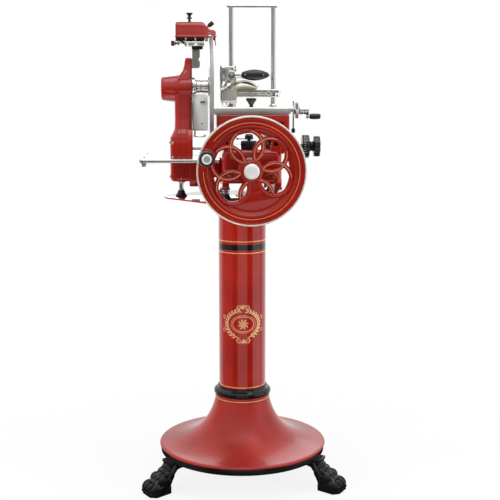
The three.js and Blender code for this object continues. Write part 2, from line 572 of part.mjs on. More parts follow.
// A sprocket whose teeth stay inside the chain
function sprocketOutline(teeth) {
  const pitchRadius = (chain.pitch / 2) / Math.sin(turn / 2 / teeth);
  const tip = pitchRadius + chain.roller * 0.8;
  const root = pitchRadius - chain.roller / 2;
  const outline = [];
  const toothShares = [[-0.3, 0], [0, 1], [0.3, 0]];
  for (let tooth = 0; tooth < teeth; tooth++)
    for (const [across, up] of toothShares) {
      const angle = (turn * (tooth + across)) / teeth;
      const radius = root + (tip - root) * up;
      outline.push([radius * Math.cos(angle), radius * Math.sin(angle)]);
    }
  return outline;
}

// Receiving tray: a shallow inverted pan, L-shaped round the blade column
const trayShape = [
  [tray.left, tray.front + tray.corner], [tray.left + tray.corner, tray.front], [tray.right, tray.front],
  [tray.right, tray.strip], [block.left - tray.notchGap, tray.strip], [block.left - tray.notchGap, tray.back],
  [tray.left + tray.corner, tray.back], [tray.left, tray.back - tray.corner],
];
const trayInner = [
  [tray.left + tray.skin, tray.front + tray.corner], [tray.left + tray.corner, tray.front + tray.skin],
  [tray.right - tray.skin, tray.front + tray.skin], [tray.right - tray.skin, tray.strip - tray.skin],
  [block.left - tray.notchGap - tray.skin, tray.strip - tray.skin],
  [block.left - tray.notchGap - tray.skin, tray.back - tray.skin],
  [tray.left + tray.corner, tray.back - tray.skin], [tray.left + tray.skin, tray.back - tray.corner],
];
const trayLow = tray.top - tray.high;
const trayScrews = trayScrewShares.map((v) => rod("z", tray.top - over, tray.top + screwHead.high / 2,
  screwHead.radius, [tray.left + screwHead.inset * 2, v * tray.back, 0], small));
const trayPeg = rod("z", trayLow - shelf.pegHigh, tray.top - tray.skin / 2, shelf.peg,
  [tray.left + shelf.pegIn, tray.front + shelf.pegIn, 0], small);
const trayPan = cut(prism(trayShape, "z", trayLow, tray.top),
  prism(trayInner, "z", trayLow - over, tray.top - tray.skin));
const ledgeCuts = [
  block3([block.left - tray.notchGap - tray.skin - over, -shelf.wide / 2 - gap, trayLow - over],
    [block.left + over, shelf.wide / 2 + gap, ledgeTop + gap]),
  block3([tray.right - tray.skin - over, -base.half - over, trayLow - over], [base.left, tray.strip + over, ledgeTop + gap]),
];
add("receiving_tray", join(cut(trayPan, ...ledgeCuts), ...trayScrews, trayPeg), chrome);

// Slice deflector: an upright plate in front of the blade shaft, folded back along the column
const fold = guard.thick;
add("slice_deflector", join(
  block3([guard.left, guard.front, guard.low], [guard.right, guard.front + fold, guard.high]),
  block3([guard.left, guard.front, guard.low], [guard.left + fold, guard.front + guard.fold, guard.high - nose.radius]),
  block3([guard.left, guard.front, guard.low], [guard.right, guard.front + guard.lip, guard.low + fold]),
), chrome);

// Flywheel, round its own axis: a rim, six overlapping petal rings, one of them filled, and a hub
const wheelGroup = new THREE.Group();
wheelGroup.position.set(drive.x, 0, drive.z);
slicer.add(wheelGroup);
const webFront = wheel.front + wheel.inset;
const webBack = webFront + wheel.web;
function petalCentre(i) {
  const angle = petal.first - (turn * i) / petal.count;
  return [petal.at * Math.cos(angle), 0, petal.at * Math.sin(angle)];
}
const petalHole = (i) => rod("y", webFront - over, webBack + over, petal.inner, petalCentre(i), round);
const petals = [];
for (let i = 0; i < petal.count; i++)
  petals.push(i === petal.solid
    ? cut(rod("y", webFront, webBack, petal.outer, petalCentre(i), round), petalHole(i - 1), petalHole(i + 1))
    : tube("y", webFront, webBack, petal.outer, petal.inner, petalCentre(i), round));
const fillAngle = petal.first - (turn * petal.solid) / petal.count;
const fillSteps = 8;
const fillSpread = turn / petal.count / 1.6;
const fillOutline = [[0, 0]];
for (let i = 0; i <= fillSteps; i++) {
  const angle = fillAngle - fillSpread + (2 * fillSpread * i) / fillSteps;
  fillOutline.push([(wheel.window + over) * Math.cos(angle), (wheel.window + over) * Math.sin(angle)]);
}
const fillKeep = tube("y", webFront, webBack, wheel.window + over, petal.at + petal.inner / 2, [0, 0, 0], fine);
const crankAt = [crank.at * Math.cos(crank.angle), 0, crank.at * Math.sin(crank.angle)];
const wheelSolid = join(
  tube("y", wheel.front, wheel.back, wheel.band, wheel.lip, [0, 0, 0], fine),
  tube("y", webFront, webBack, wheel.lip + over, wheel.window, [0, 0, 0], fine),
  common(prism(fillOutline, "y", webFront, webBack), fillKeep),
  ...petals,
  rod("y", wheel.front, wheel.back + gap, wheel.hub, [0, 0, 0]),
  rod("y", wheel.front - crank.bossProud, wheel.back, crank.boss, crankAt),
);
const rimTrim = tube("y", wheel.front - crank.bossProud - over, wheel.back + over, wheel.band + crank.boss, wheel.band,
  [0, 0, 0], fine);
add("flywheel", cut(wheelSolid, rimTrim,
  rod("y", wheel.front - over, wheel.back + over, shaft.mainRadius + gap, [0, 0, 0]),
  rod("y", wheel.front - crank.bossProud - over, wheel.back + over, grip.pin + gap, crankAt, small),
), red, wheelGroup);
add("hub_cap", spun([
  [0, wheel.front - gap - cap.high], [cap.radius * 0.7, wheel.front - gap - cap.high + cap.crown / 3],
  [cap.radius, wheel.front - gap - cap.high + cap.crown], [cap.radius, wheel.front - gap], [0, wheel.front - gap],
], "y", [0, 0, 0]), chrome, wheelGroup);

// A mitre gear: its outline shrinks along straight lines to the point where the axes meet
function mitreGear(firstTooth) {
  const outline = gearOutline(bevel.teeth, (2 * bevel.pitch) / bevel.teeth);
  const far = bevel.pitch;
  const near = bevel.pitch - bevel.face;
  const shape = prism(outline, "z", 0, 1).rotateZ(firstTooth);
  const place = shape.attributes.position;
  for (let i = 0; i < place.count; i++) {
    const away = place.getZ(i) > 0 ? near : far;
    const share = away / far;
    place.setXYZ(i, place.getX(i) * share, place.getY(i) * share, away);
  }
  return shape; // along +Z from near to far, still inside out: the far end is the lower one
}
const flip = new THREE.Matrix4().makeScale(1, 1, -1);
const halfToothTurn = turn / bevel.teeth / 2;
const mitreMain = mitreGear(halfToothTurn).applyMatrix4(flip).applyMatrix4(new THREE.Matrix4().makeRotationX(-turn / 4));
add("main_shaft", join(mitreMain, rod("y", wheel.front, bevel.face - bevel.pitch, shaft.mainRadius, [0, 0, 0])), steel,
  wheelGroup);

const spindle = [
  [0, crank.front], [grip.head, crank.front], [grip.head, crank.front + grip.headThick],
  [grip.pin, crank.front + grip.headThick],
];
const collarBack = wheel.front - crank.bossProud - gap;
spindle.push([grip.pin, collarBack - grip.collarThick], [grip.collar, collarBack - grip.collarThick],
  [grip.collar, collarBack], [grip.pin, collarBack], [grip.pin, wheel.back], [0, wheel.back]);
add("handle_spindle", spun(spindle, "y", crankAt, small), chrome, wheelGroup);
const gripFront = crank.front + grip.headThick + gap;
const gripBack = collarBack - grip.collarThick - gap;
const gripLong = gripBack - gripFront;
add("crank_handle", spun([
  [grip.pin + gap, gripFront], [grip.radius - grip.edge, gripFront], [grip.radius, gripFront + grip.edge],
  [grip.radius, gripFront + gripLong * 0.3], [grip.waist, gripFront + gripLong * 0.75],
  [grip.waist, gripBack - grip.edge], [grip.collar, gripBack], [grip.pin + gap, gripBack],
  [grip.pin + gap, gripFront],
], "y", crankAt), black, wheelGroup);

// Cross shaft: mitre gear, chain sprocket and the crank arm of the carriage drive
const crossGroup = new THREE.Group();
crossGroup.position.set(0, 0, drive.z);
slicer.add(crossGroup);
const crossLeft = block.left + hood.wall + gap;
const crankArm = block3([sector.armLeft, -sector.arm / 2, 0], [sector.armRight, sector.arm / 2, sector.crank]);
add("crank_shaft", join(
  rod("x", crossLeft, sector.armRight, shaft.crossRadius, [0, 0, 0]),
  crankArm,
  rod("x", sector.armLeft, sector.armRight, sector.arm * 0.7, [0, 0, 0]),
  rod("x", sector.armLeft, sector.armRight, sector.arm / 2, [0, 0, sector.crank]),
  rod("x", sector.armLeft, rack.left - gap, sector.pin, [0, 0, sector.crank]),
), steel, crossGroup);
const mitreCross = mitreGear(0).applyMatrix4(flip).applyMatrix4(new THREE.Matrix4().makeRotationY(turn / 4));
mitreCross.translate(drive.x, 0, 0);
add("bevel_gear_cross", cut(mitreCross,
  rod("x", base.left, drive.x, shaft.crossRadius + gap, [0, 0, 0])), steel, crossGroup);
const plateHalf = chain.plate / 2;
const lowerSprocket = join(
  prism(sprocketOutline(chain.lowerTeeth), "x", chain.x - plateHalf, chain.x + plateHalf),
  rod("x", chain.x - chain.wide, chain.x + chain.wide, shaft.crossRadius * 2, [0, 0, 0]),
);
add("lower_sprocket", cut(lowerSprocket,
  rod("x", chain.x - chain.wide - over, chain.x + chain.wide + over, shaft.crossRadius + gap, [0, 0, 0])), steel, crossGroup);

// Blade, its shaft with the upper sprocket in one piece, and the screws that hold it
const bladeGroup = new THREE.Group();
bladeGroup.position.set(0, 0, blade.z);
slicer.add(bladeGroup);
const shaftLeft = hood.left + hood.wall + gap;
const flangeRight = blade.face - gap;
add("blade_shaft", join(
  rod("x", shaftLeft, blade.face + blade.thick, shaft.bladeRadius, [0, 0, 0]),
  rod("x", flangeRight - seat.thick, flangeRight, seat.flange, [0, 0, 0]),
  prism(sprocketOutline(chain.upperTeeth), "x", chain.x - plateHalf, chain.x + plateHalf),
), steel, bladeGroup);
add("blade", spun([
  [shaft.bladeRadius + gap, blade.face], [blade.flat, blade.face], [blade.dish, blade.dishBack], [blade.radius, blade.edge - gap],
  [blade.radius, blade.edge], [blade.bevelIn, blade.edge], [blade.flat, blade.face + blade.thick],
  [shaft.bladeRadius + gap, blade.face + blade.thick], [shaft.bladeRadius + gap, blade.face],
], "x", [0, 0, 0], fine), steel, bladeGroup);
const screwFace = blade.face + blade.thick + gap;
const retainer = [rod("x", screwFace, screwFace + seat.plate, seat.flange, [0, 0, 0])];
for (let i = 0; i < seat.screws; i++) {
  const angle = (turn * i) / seat.screws;
  const centre = [0, seat.screwAt * Math.cos(angle), seat.screwAt * Math.sin(angle)];
  retainer.push(rod("x", screwFace, screwFace + seat.plate + seat.screwHigh, seat.screw, centre, small));
}
add("blade_retainer", join(...retainer), chrome, bladeGroup);

// Sector lever: a toothed sector that swings the carriage's rack, with the slot for the crank pin
const pitchLine = rail.height + 2;
const sectorRadius = pitchLine - sector.pivot;
const toothTurn = (Math.PI * rack.module) / sectorRadius;
const sectorTeeth = Math.floor(sector.spread / toothTurn);
const sectorOutline = [];
for (let tooth = sectorTeeth; tooth >= -sectorTeeth; tooth--)
  for (const [side, up] of [[1, 0], [1, 1], [-1, 1], [-1, 0]]) {
    const height = rack.module * (up ? 1 : -spur.foot);
    const radius = sectorRadius + height;
    const angle = tooth * toothTurn + (side * halfTooth(rack.module, height)) / sectorRadius;
    sectorOutline.push([radius * Math.sin(angle), sector.pivot + radius * Math.cos(angle)]);
  }
sectorOutline.push([-sector.hub, sector.pivot], [sector.hub, sector.pivot]);
const slotLow = drive.z - sector.crank - sector.pin - gap;
const slotHigh = drive.z + sector.crank + sector.pin + gap;
add("sector_lever", cut(
  join(prism(sectorOutline, "x", rack.left, rack.right), rod("x", rack.left, rack.right, sector.hub, [0, 0, sector.pivot])),
  rod("x", rack.left - over, rack.right + over, sector.stud + gap, [0, 0, sector.pivot]),
  prism(rounded(-sector.slot, slotLow, sector.slot, slotHigh, sector.slot * 0.9), "x", rack.left - over, rack.right + over),
), steel);

// Carriage: an open-bottomed box on four shoes, with the rack under an inner rib
const box = carriage;
const shoes = [];
for (const x of railAxes)
  for (const side of [-1, 1])
    shoes.push(block3([x - shoe.half, side * shoe.at - shoe.long / 2, shoe.low],
      [x + shoe.half, side * shoe.at + shoe.long / 2, box.top - box.wall / 2]));
const boxShell = cut(block3([box.left, box.front, box.low], [box.right, box.back, box.top]),
  block3([box.left + box.wall, box.front + box.wall, box.low - over], [box.right - box.wall, box.back - box.wall, box.top - box.wall]));
const rackTop = pitchLine + rack.module + rack.body;
const rackRib = block3([rack.left - over, box.front + box.wall / 2, rackTop + gap], [rack.right + over, box.back - box.wall / 2, box.top - box.wall / 2]);
add("carriage", cut(join(boxShell, rackRib, ...shoes),
  ...railAxes.map((x) => rod("y", box.front, box.back, rail.radius + gap, [x, 0, rail.height])),
  block3([slot.from, box.front - over, slot.low], [slot.to, box.front + box.wall + over, slot.low + slot.high]),
), red);

const rackOutline = [];
const rackPitch = Math.PI * rack.module;
const rackHalf = -carriage.front - carriage.wall - gap;
const rackTeeth = Math.floor(rackHalf / rackPitch - 0.5);
for (let tooth = -rackTeeth; tooth < rackTeeth; tooth++)
  for (const [side, down] of [[-1, 0], [-1, 1], [1, 1], [1, 0]]) {
    const height = rack.module * (down ? 1 : -spur.foot);
    const place = (tooth + 1 / 2) * rackPitch + side * halfTooth(rack.module, height);
    rackOutline.push([place, pitchLine - height]);
  }
const rackRoot = pitchLine + rack.module * spur.foot;
rackOutline.push([rackHalf, rackRoot], [rackHalf, rackTop], [-rackHalf, rackTop], [-rackHalf, rackRoot]);
add("carriage_rack", prism(rackOutline, "x", rack.left, rack.right), steel);

// Slide bed on the carriage, with two strips for the table and the nut of the feed screw
const screwZ = (bed.top + bed.stripTop + gap) / 2;
const bedFront = table.front + table.skirt + gap;
const bedBack = table.back - table.skirt - gap;
const bedParts = [block3([box.left, bedFront, bed.low], [box.right, bedBack, bed.top])];
for (const from of [bedFront + bed.inset, bedBack - bed.inset - bed.stripWide])
  bedParts.push(block3([box.left, from, bed.top - over], [box.right, from + bed.stripWide, bed.stripTop]));
bedParts.push(block3([bed.nutFrom, -bed.nutHalf, bed.top - over], [bed.nutFrom + bed.nutLong, bed.nutHalf, bed.stripTop]));
add("slide_bed", cut(join(...bedParts),
  rod("x", bed.nutFrom - over, bed.nutFrom + bed.nutLong + over, screw.radius + gap, [0, 0, screwZ])), chrome);

// Meat table with its skirts and the lug that carries the feed screw
const lugRight = table.right + table.lug;
add("meat_table", cut(join(
  block3([table.left, table.front, table.low], [lugRight, table.back, table.top]),
  block3([table.left, table.front, table.low - table.skirtHigh], [table.right, table.front + table.skirt, table.top]),
  block3([table.left, table.back - table.skirt, table.low - table.skirtHigh], [table.right, table.back, table.top]),
  block3([table.right, -table.lugHalf, screwZ - table.lugHalf / 2], [lugRight, table.lugHalf, table.top]),
), rod("x", table.right - over, lugRight + over, screw.radius + gap, [0, 0, screwZ])), chrome);

// Feed screw with its ratchet wheel, crank and turning grip, and the pawl that hangs beside it
const feedGroup = new THREE.Group();
feedGroup.position.set(0, 0, screwZ);
slicer.add(feedGroup);
add("feed_screw", rod("x", screw.left, screw.right, screw.radius, [0, 0, 0]), steel, feedGroup);
const ratchetOutline = [];
for (let tooth = 0; tooth < ratchet.teeth; tooth++) {
  const angle = (turn * tooth) / ratchet.teeth;
  ratchetOutline.push([ratchet.radius * Math.cos(angle), ratchet.radius * Math.sin(angle)]);
  const root = ratchet.radius - ratchet.depth;
  ratchetOutline.push([root * Math.cos(angle), root * Math.sin(angle)]);
}
const ratchetWheel = join(prism(ratchetOutline, "x", ratchet.left, ratchet.left + ratchet.thick),
  rod("x", pawl.left + pawl.thick + gap, handle.left - gap, handle.foot, [0, 0, 0]));
const screwHole = rod("x", pawl.left - over, handle.right + over, screw.radius + gap, [0, 0, 0]);
add("ratchet_wheel", cut(ratchetWheel, screwHole), steel, feedGroup);
const feedArm = block3([handle.right - handle.armThick, -handle.end, -handle.arm], [handle.right, handle.end, 0]);
const gripEnd = handle.right + gap + handle.gripLong;
add("feed_crank", cut(join(
  rod("x", handle.left, handle.right, handle.hub, [0, 0, 0]),
  feedArm,
  rod("x", handle.right - handle.armThick, handle.right, handle.end, [0, 0, -handle.arm]),
  rod("x", handle.right - handle.armThick, gripEnd - over, handle.pin, [0, 0, -handle.arm], small),
), screwHole), chrome, feedGroup);
const feedGrip = spun([
  [0, handle.right + gap], [handle.grip * 0.8, handle.right + gap], [handle.grip, handle.right + gap + over],
  [handle.grip, gripEnd - over], [handle.grip * 0.8, gripEnd], [0, gripEnd],
], "x", [0, 0, -handle.arm]);
add("feed_grip", cut(feedGrip,
  rod("x", handle.right, gripEnd - over + gap, handle.pin + gap, [0, 0, -handle.arm], small)), black, feedGroup);
const pawlRight = pawl.left + pawl.thick;
add("feed_pawl", cut(join(
  rod("x", pawl.left, pawlRight, pawl.hub, [0, 0, 0]),
  block3([pawl.left, -pawl.wide / 2, -pawl.down], [pawlRight, pawl.wide / 2, pawl.up]),
  block3([pawl.left - pawl.tipExtra, -pawl.wide / 2 - pawl.tipExtra, -pawl.down - pawl.tip],
    [pawlRight + pawl.tipExtra, pawl.wide / 2 + pawl.tipExtra, -pawl.down]),
), screwHole), steel, feedGroup);

// Meat clamp: two guide rods with a top bar, and a crosshead that slides on them
const rodAxes = [rods.left, rods.right];
const rodFoot = table.top + gap;
const rodParts = rodAxes.map((x) => spun([
  [0, rodFoot], [rods.foot, rodFoot], [rods.foot, rodFoot + rods.footHigh], [rods.radius, rodFoot + rods.footHigh],
  [rods.radius, rods.top], [0, rods.top],
], "z", [x, rods.y, 0]));
rodParts.push(block3([rods.left - rods.barOver, rods.y - rods.barHalf, rods.top - over],
  [rods.right + rods.barOver, rods.y + rods.barHalf, rods.top + rods.barHigh]));
add("guide_rods", join(...rodParts), chrome);

const domeOutline = [];
const domeSteps = 10;
for (let i = 0; i <= domeSteps; i++) {
  const angle = (turn / 2) * (1 - i / domeSteps);
  const middle = (dome.left + dome.right) / 2;
  domeOutline.push([middle + ((dome.right - dome.left) / 2) * Math.cos(angle), dome.low + (dome.high - dome.low) * Math.sin(angle)]);
}
const crosshead = join(
  rod("z", head.low, head.sleeveTop, head.sleeve, [rods.left, rods.y, 0]),
  block3([head.left, rods.y - head.half, head.bodyLow], [head.right, rods.y + head.half, head.sleeveTop - head.half]),
  block3([rods.left, rods.y - head.half, head.low], [rods.right, rods.y + head.half, head.high]),
  rod("z", head.low, head.high, head.collar, [rods.right, rods.y, 0]),
  block3([nozzle.x - nozzle.half, nozzle.front, head.low], [nozzle.x + nozzle.half, rods.y, head.low + nozzle.high]),
  prism(domeOutline, "y", dome.front, dome.back),
  block3([dome.left + dome.wall, dome.back - over, head.low], [nozzle.x + nozzle.half + dome.wall, rods.y, dome.low + dome.wall]),
  rod("y", lever.y - lever.half, rods.y, lever.pin, [rods.left, 0, lever.z]),
);
add("clamp_crosshead", cut(crosshead,
  ...rodAxes.map((x) => rod("z", head.low - over, head.sleeveTop + over, rods.radius + gap, [x, rods.y, 0]))), chrome);

const pressLow = press.top - press.thick;
const spikes = [];
for (let i = 0; i < press.rows; i++)
  for (let j = 0; j < press.rows; j++) {
    const across = (2 * i) / (press.rows - 1) - 1;
    const along = (2 * j) / (press.rows - 1) - 1;
    const centre = [nozzle.x + across * (press.half - press.spike * 2), nozzle.front + nozzle.half + along * (press.depth - press.spike * 3), 0];
    spikes.push(spun([[0, pressLow - press.spikeHigh], [press.spike, pressLow + press.spike], [0, pressLow + press.spike]], "z", centre, 8));
  }
const pressY = nozzle.front + nozzle.half;
add("press_foot", join(
  block3([nozzle.x - press.half, pressY - press.depth, pressLow], [nozzle.x + press.half, pressY + press.depth, press.top]),
  rod("z", press.top - over, head.low - gap, press.stem, [nozzle.x, pressY, 0], small),
  ...spikes,
), steel);

const leverMiddle = (lever.handleFrom + lever.handleTo) / 2;
const leverHalf = (lever.handleTo - lever.handleFrom) / 2;
const rodEnd = lever.handleTo + lever.ferrule + gap;
add("clamp_lever", cut(join(
  rod("y", lever.y - lever.half, lever.y + lever.half, lever.hub, [rods.left, 0, lever.z]),
  rod("x", rods.left, rodEnd, lever.rod, [0, lever.y, lever.z], small),
  rod("x", lever.handleFrom - lever.ferrule, lever.handleFrom - gap, lever.rod + lever.tip, [0, lever.y, lever.z], small),
  rod("x", lever.handleTo + gap, rodEnd, lever.rod + lever.tip / 2, [0, lever.y, lever.z], small),
), rod("y", lever.y - lever.half - over, lever.y + lever.half + over, lever.pin + gap, [rods.left, 0, lever.z])), chrome);
const handleSteps = 10;
const handleProfile = [[lever.rod + gap, lever.handleFrom]];
for (let i = 0; i <= handleSteps; i++) {
  const angle = (turn / 2) * (1 - i / handleSteps);
  handleProfile.push([lever.rod + gap + lever.tip / 2 + (lever.handle - lever.rod - lever.tip / 2) * Math.sin(angle),
    leverMiddle + leverHalf * Math.cos(angle)]);
}
handleProfile.push([lever.rod + gap, lever.handleTo], [lever.rod + gap, lever.handleFrom]);
add("clamp_handle", spun(handleProfile, "x", [0, lever.y, lever.z]), black);

// Cone knob that locks the table on its bed
add("table_lock_knob", spun([
  [0, table.top + gap], [cone.foot, table.top + gap], [cone.foot, table.top + cone.cut / 3],
  [cone.radius, table.top + cone.high - cone.crown], [cone.radius, table.top + cone.high], [0, table.top + cone.high],
], "z", [cone.x, cone.y, 0], small), black);

// Slice thickness knob: a large disc, a neck and a smaller disc on one shaft
const dialNeck = dial.from + dial.discThick;
const dialKnob = dialNeck + dial.neckLong;
const dialEnd = dialKnob + dial.knobThick;
add("thickness_knob", spun([
  [0, ear.from + gap], [dial.shaft, ear.from + gap], [dial.shaft, dial.from], [dial.disc - dial.edge, dial.from],
  [dial.disc, dial.from + dial.edge], [dial.disc, dialNeck - dial.edge], [dial.disc - dial.edge, dialNeck],
  [dial.neck, dialNeck + dial.edge], [dial.neck, dialKnob - dial.edge], [dial.knob - dial.edge, dialKnob],
  [dial.knob, dialKnob + dial.edge], [dial.knob, dialEnd - dial.edge], [dial.knob - dial.edge, dialEnd], [0, dialEnd],
], "x", [0, dial.y, dial.z]), black);

// Sharpener: mast and frame, red cover, stones, knobs
const stoneZ = stone.z;
const frameHigh = cover.low - gap;
const frameLeft = cover.left + cover.wall / 2 + gap;
const frameSolid = join(
  block3([post.right + gap, -mast.half, mast.low], [mast.right, mast.half, frameHigh]),
  block3([frameLeft, -cover.half, frame.low], [frame.right, cover.half, frameHigh]),
  block3([mast.right, stone.y - frame.lugHalf, frameHigh - over],
    [mast.right + frame.lug, stone.y + frame.lugHalf, stoneZ + frame.lugUp]),
);
const leftRod = knurl.right + knurl.into;
const honeUp = new THREE.Vector3(Math.sin(hone.lean), 0, Math.cos(hone.lean));
function leaning(from, to, radius, sides = small) {
  const shape = rod("z", from, to, radius, [0, 0, 0], sides);
  return shape.rotateY(hone.lean).translate(hone.x, 0, hone.z);
}
const stoneAt = [0, stone.y, stoneZ];
add("sharpener_frame", cut(frameSolid,
  rod("z", frame.low - over, frameHigh + over, plunger.rod + gap, [plunger.x, 0, 0], small),
  rod("x", frameLeft - over, leftRod + gap, knurl.shank + gap, [0, 0, knurl.z], small),
  rod("x", mast.right - over, frame.right + over, stone.spindle + gap, stoneAt, small),
), chrome);

const coverShape = [
  [cover.left, cover.low], [cover.right, cover.low], [cover.right, cover.stepTop], [cover.shoulder + cover.slope, cover.stepTop],
  [cover.shoulder - cover.slope / 4, cover.top], [cover.left, cover.top],
];
const coverInner = [
  [cover.left + cover.wall, cover.low - over], [cover.right - cover.wall, cover.low - over],
  [cover.right - cover.wall, cover.stepTop - cover.wall], [cover.shoulder + cover.slope - cover.wall, cover.stepTop - cover.wall],
  [cover.shoulder - cover.slope / 4 - cover.wall, cover.top - cover.wall], [cover.left + cover.wall, cover.top - cover.wall],
];
const flapLow = cover.low - cover.flap;
const coverSolid = join(
  cut(prism(coverShape, "y", -cover.half, cover.half), prism(coverInner, "y", -cover.half + cover.wall, cover.half - cover.wall)),
  block3([cover.left - cover.wall / 2, -cover.half / 2, flapLow], [cover.left + cover.wall / 2, cover.half / 2, cover.low + over]),
  block3([cover.right - cover.wall / 2, -cover.half / 2, flapLow], [cover.right + cover.wall / 2, cover.half / 2, cover.low + over]),
);
add("sharpener_cover", cut(coverSolid,
  block3([blade.face - cover.slit, -cover.half - over, flapLow - over],
    [blade.edge + cover.slit, cover.half + over, blade.z + blade.radius + cover.slit]),
  rod("z", cover.top - cover.wall - over, cover.top + over, plunger.rod + gap, [plunger.x, 0, 0], small),
  leaning(-hone.inside, hone.from, hone.rod + gap),
  rod("x", cover.left - cover.wall, cover.left + cover.wall, knurl.shank + gap, [0, 0, knurl.z], small),
), red);

const plungerLow = cover.top + gap + plunger.travel;
const plungerTop = plungerLow + plunger.high;
add("plunger_knob", spun([
  [0, frame.low], [plunger.rod, frame.low], [plunger.rod, plungerLow], [plunger.base, plungerLow],
  [plunger.base, plungerLow + plunger.headThick / 2], [plunger.waist, plungerLow + plunger.headThick],
  [plunger.waist, plungerTop - plunger.headThick * 2], [plunger.head, plungerTop - plunger.headThick],
  [plunger.head, plungerTop - plunger.headThick / 2], [plunger.waist, plungerTop], [0, plungerTop],
], "z", [plunger.x, 0, 0], small), black);
add("hone_knob", join(leaning(-hone.inside, hone.from + over, hone.rod), leaning(hone.from, hone.from + hone.long, hone.radius)), black);

const stoneRight = blade.face - stone.off;
add("grinding_stone", join(
  rod("x", stoneRight - stone.thick, stoneRight, stone.radius, stoneAt),
  rod("x", mast.right + gap, stoneRight - over, stone.spindle, stoneAt, small),
), stoneGrey);
const smallLeft = blade.edge + stone.smallOff;
add("honing_stone", join(
  rod("x", smallLeft, smallLeft + stone.smallThick, stone.small, [0, 0, stoneZ]),
  rod("x", smallLeft, cover.right - cover.wall - gap, stone.spindle, [0, 0, stoneZ], small),
), stoneGrey);
add("lock_screw", join(
  rod("x", knurl.left, knurl.right, knurl.radius, [0, 0, knurl.z], small),
  rod("x", knurl.right - over, leftRod, knurl.shank, [0, 0, knurl.z], small),
), black);

// The origin is the bottom centre of the bounding box
const bounds = new THREE.Box3().setFromObject(slicer);
const middle = bounds.getCenter(new THREE.Vector3());
slicer.position.set(-middle.x, -middle.y, -bounds.min.z);

export default slicer;
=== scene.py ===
import math

import bmesh
import bpy
import numpy as np
from mathutils import Matrix, Vector


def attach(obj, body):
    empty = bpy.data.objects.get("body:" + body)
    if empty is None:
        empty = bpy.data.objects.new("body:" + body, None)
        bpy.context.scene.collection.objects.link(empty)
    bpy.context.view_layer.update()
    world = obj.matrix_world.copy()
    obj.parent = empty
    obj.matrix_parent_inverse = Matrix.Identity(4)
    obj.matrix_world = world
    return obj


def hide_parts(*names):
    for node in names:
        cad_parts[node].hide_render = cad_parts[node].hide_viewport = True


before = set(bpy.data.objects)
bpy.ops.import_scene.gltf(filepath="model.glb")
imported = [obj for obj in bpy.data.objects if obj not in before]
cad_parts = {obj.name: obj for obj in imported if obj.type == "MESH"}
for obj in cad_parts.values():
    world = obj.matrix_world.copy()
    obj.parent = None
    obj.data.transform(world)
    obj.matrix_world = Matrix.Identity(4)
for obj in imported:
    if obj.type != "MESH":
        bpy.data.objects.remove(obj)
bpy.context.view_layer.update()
mm = 0.001
full = 2 * math.pi
scene = bpy.context.scene
print("frame loaded")


# Shapes: each function returns points in millimetres and faces


# Point = centre + u and v across the axis and t along it; x: (t,u,v), y: (u,t,v), z: (u,v,t).
def toSpace(u, v, t, axis, centre=(0, 0, 0)):
    parts = {"x": (t, u, v), "y": (u, t, v), "z": (u, v, t)}[axis]
    return np.stack([np.asarray(p, float) + c for p, c in zip(parts, centre)], axis=-1)


# A grid of points as quads (i,j) (i,j+1) (i+1,j+1) (i+1,j). Its columns close on themselves, its rows may, and caps
# close the first and last rows.
def grid(points, wrapRows=False, caps=False):
    rows, cols = points.shape[:2]
    i = np.arange(rows if wrapRows else rows - 1)[:, None]
    j = np.arange(cols)[None, :]
    nextI, nextJ = (i + 1) % rows, (j + 1) % cols
    quads = np.stack(np.broadcast_arrays(i * cols + j, i * cols + nextJ, nextI * cols + nextJ, nextI * cols + j), -1)
    faces = quads.reshape(-1, 4).tolist()
    if caps:
        faces += [list(range(cols))[::-1], list(range((rows - 1) * cols, rows * cols))]
    return points.reshape(-1, 3), faces


# Rows of (u, v, radius): each corner becomes a quadratic arc that starts and ends one radius from it, at most
# half the side.
def fillet(rows, steps=5, closed=True):
    rows = np.asarray(rows, float)
    corners, radii = rows[:, :2], rows[:, 2]
    before, after = np.roll(corners, 1, 0), np.roll(corners, -1, 0)
    if not closed:
        before[0], after[-1] = corners[0], corners[-1]
    out = []
    t = np.linspace(0, 1, steps + 1)[:, None]
    for a, b, c, r in zip(before, corners, after, radii):
        la, lc = np.linalg.norm(a - b), np.linalg.norm(c - b)
        if r <= 0 or la < 1e-9 or lc < 1e-9:
            out.append(b[None, :])
            continue
        start = b + (a - b) * min(r / la, 0.49)
        end = b + (c - b) * min(r / lc, 0.49)
        out.append((1 - t) ** 2 * start + 2 * t * (1 - t) * b + t**2 * end)
    return np.concatenate(out)


# Points at centre + radius (cos a, sin a).
def circle(radius, count=64, centre=(0, 0), start=0.0, sweep=full):
    a = start + sweep * np.arange(count) / (count if abs(sweep - full) < 1e-9 else count - 1)
    return np.stack([centre[0] + radius * np.cos(a), centre[1] + radius * np.sin(a)], -1)


# A rectangle with round corners.
def rectangle(u0, v0, u1, v1, corner=0.0, steps=5):
    return fillet([(u0, v0, corner), (u1, v0, corner), (u1, v1, corner), (u0, v1, corner)], steps)


# Rows (u, v, radius) and, in reverse, their mirror images about a middle v.
def mirrored(rows, middle=0):
    return rows + [(u, 2 * middle - v, radius) for u, v, radius in rows[::-1]]


# Every point moves inwards along the mean of its two sides' normals.
def inset(outline, distance):
    side = np.roll(outline, -1, 0) - outline
    side /= np.maximum(np.linalg.norm(side, axis=1, keepdims=True), 1e-9)
    normal = np.stack([-side[:, 1], side[:, 0]], -1)
    normal = normal + np.roll(normal, 1, 0)
    normal /= np.maximum(np.linalg.norm(normal, axis=1, keepdims=True), 1e-9)
    area = 0.5 * np.sum(outline[:, 0] * np.roll(outline[:, 1], -1) - np.roll(outline[:, 0], -1) * outline[:, 1])
    return outline + normal * distance * np.sign(area)


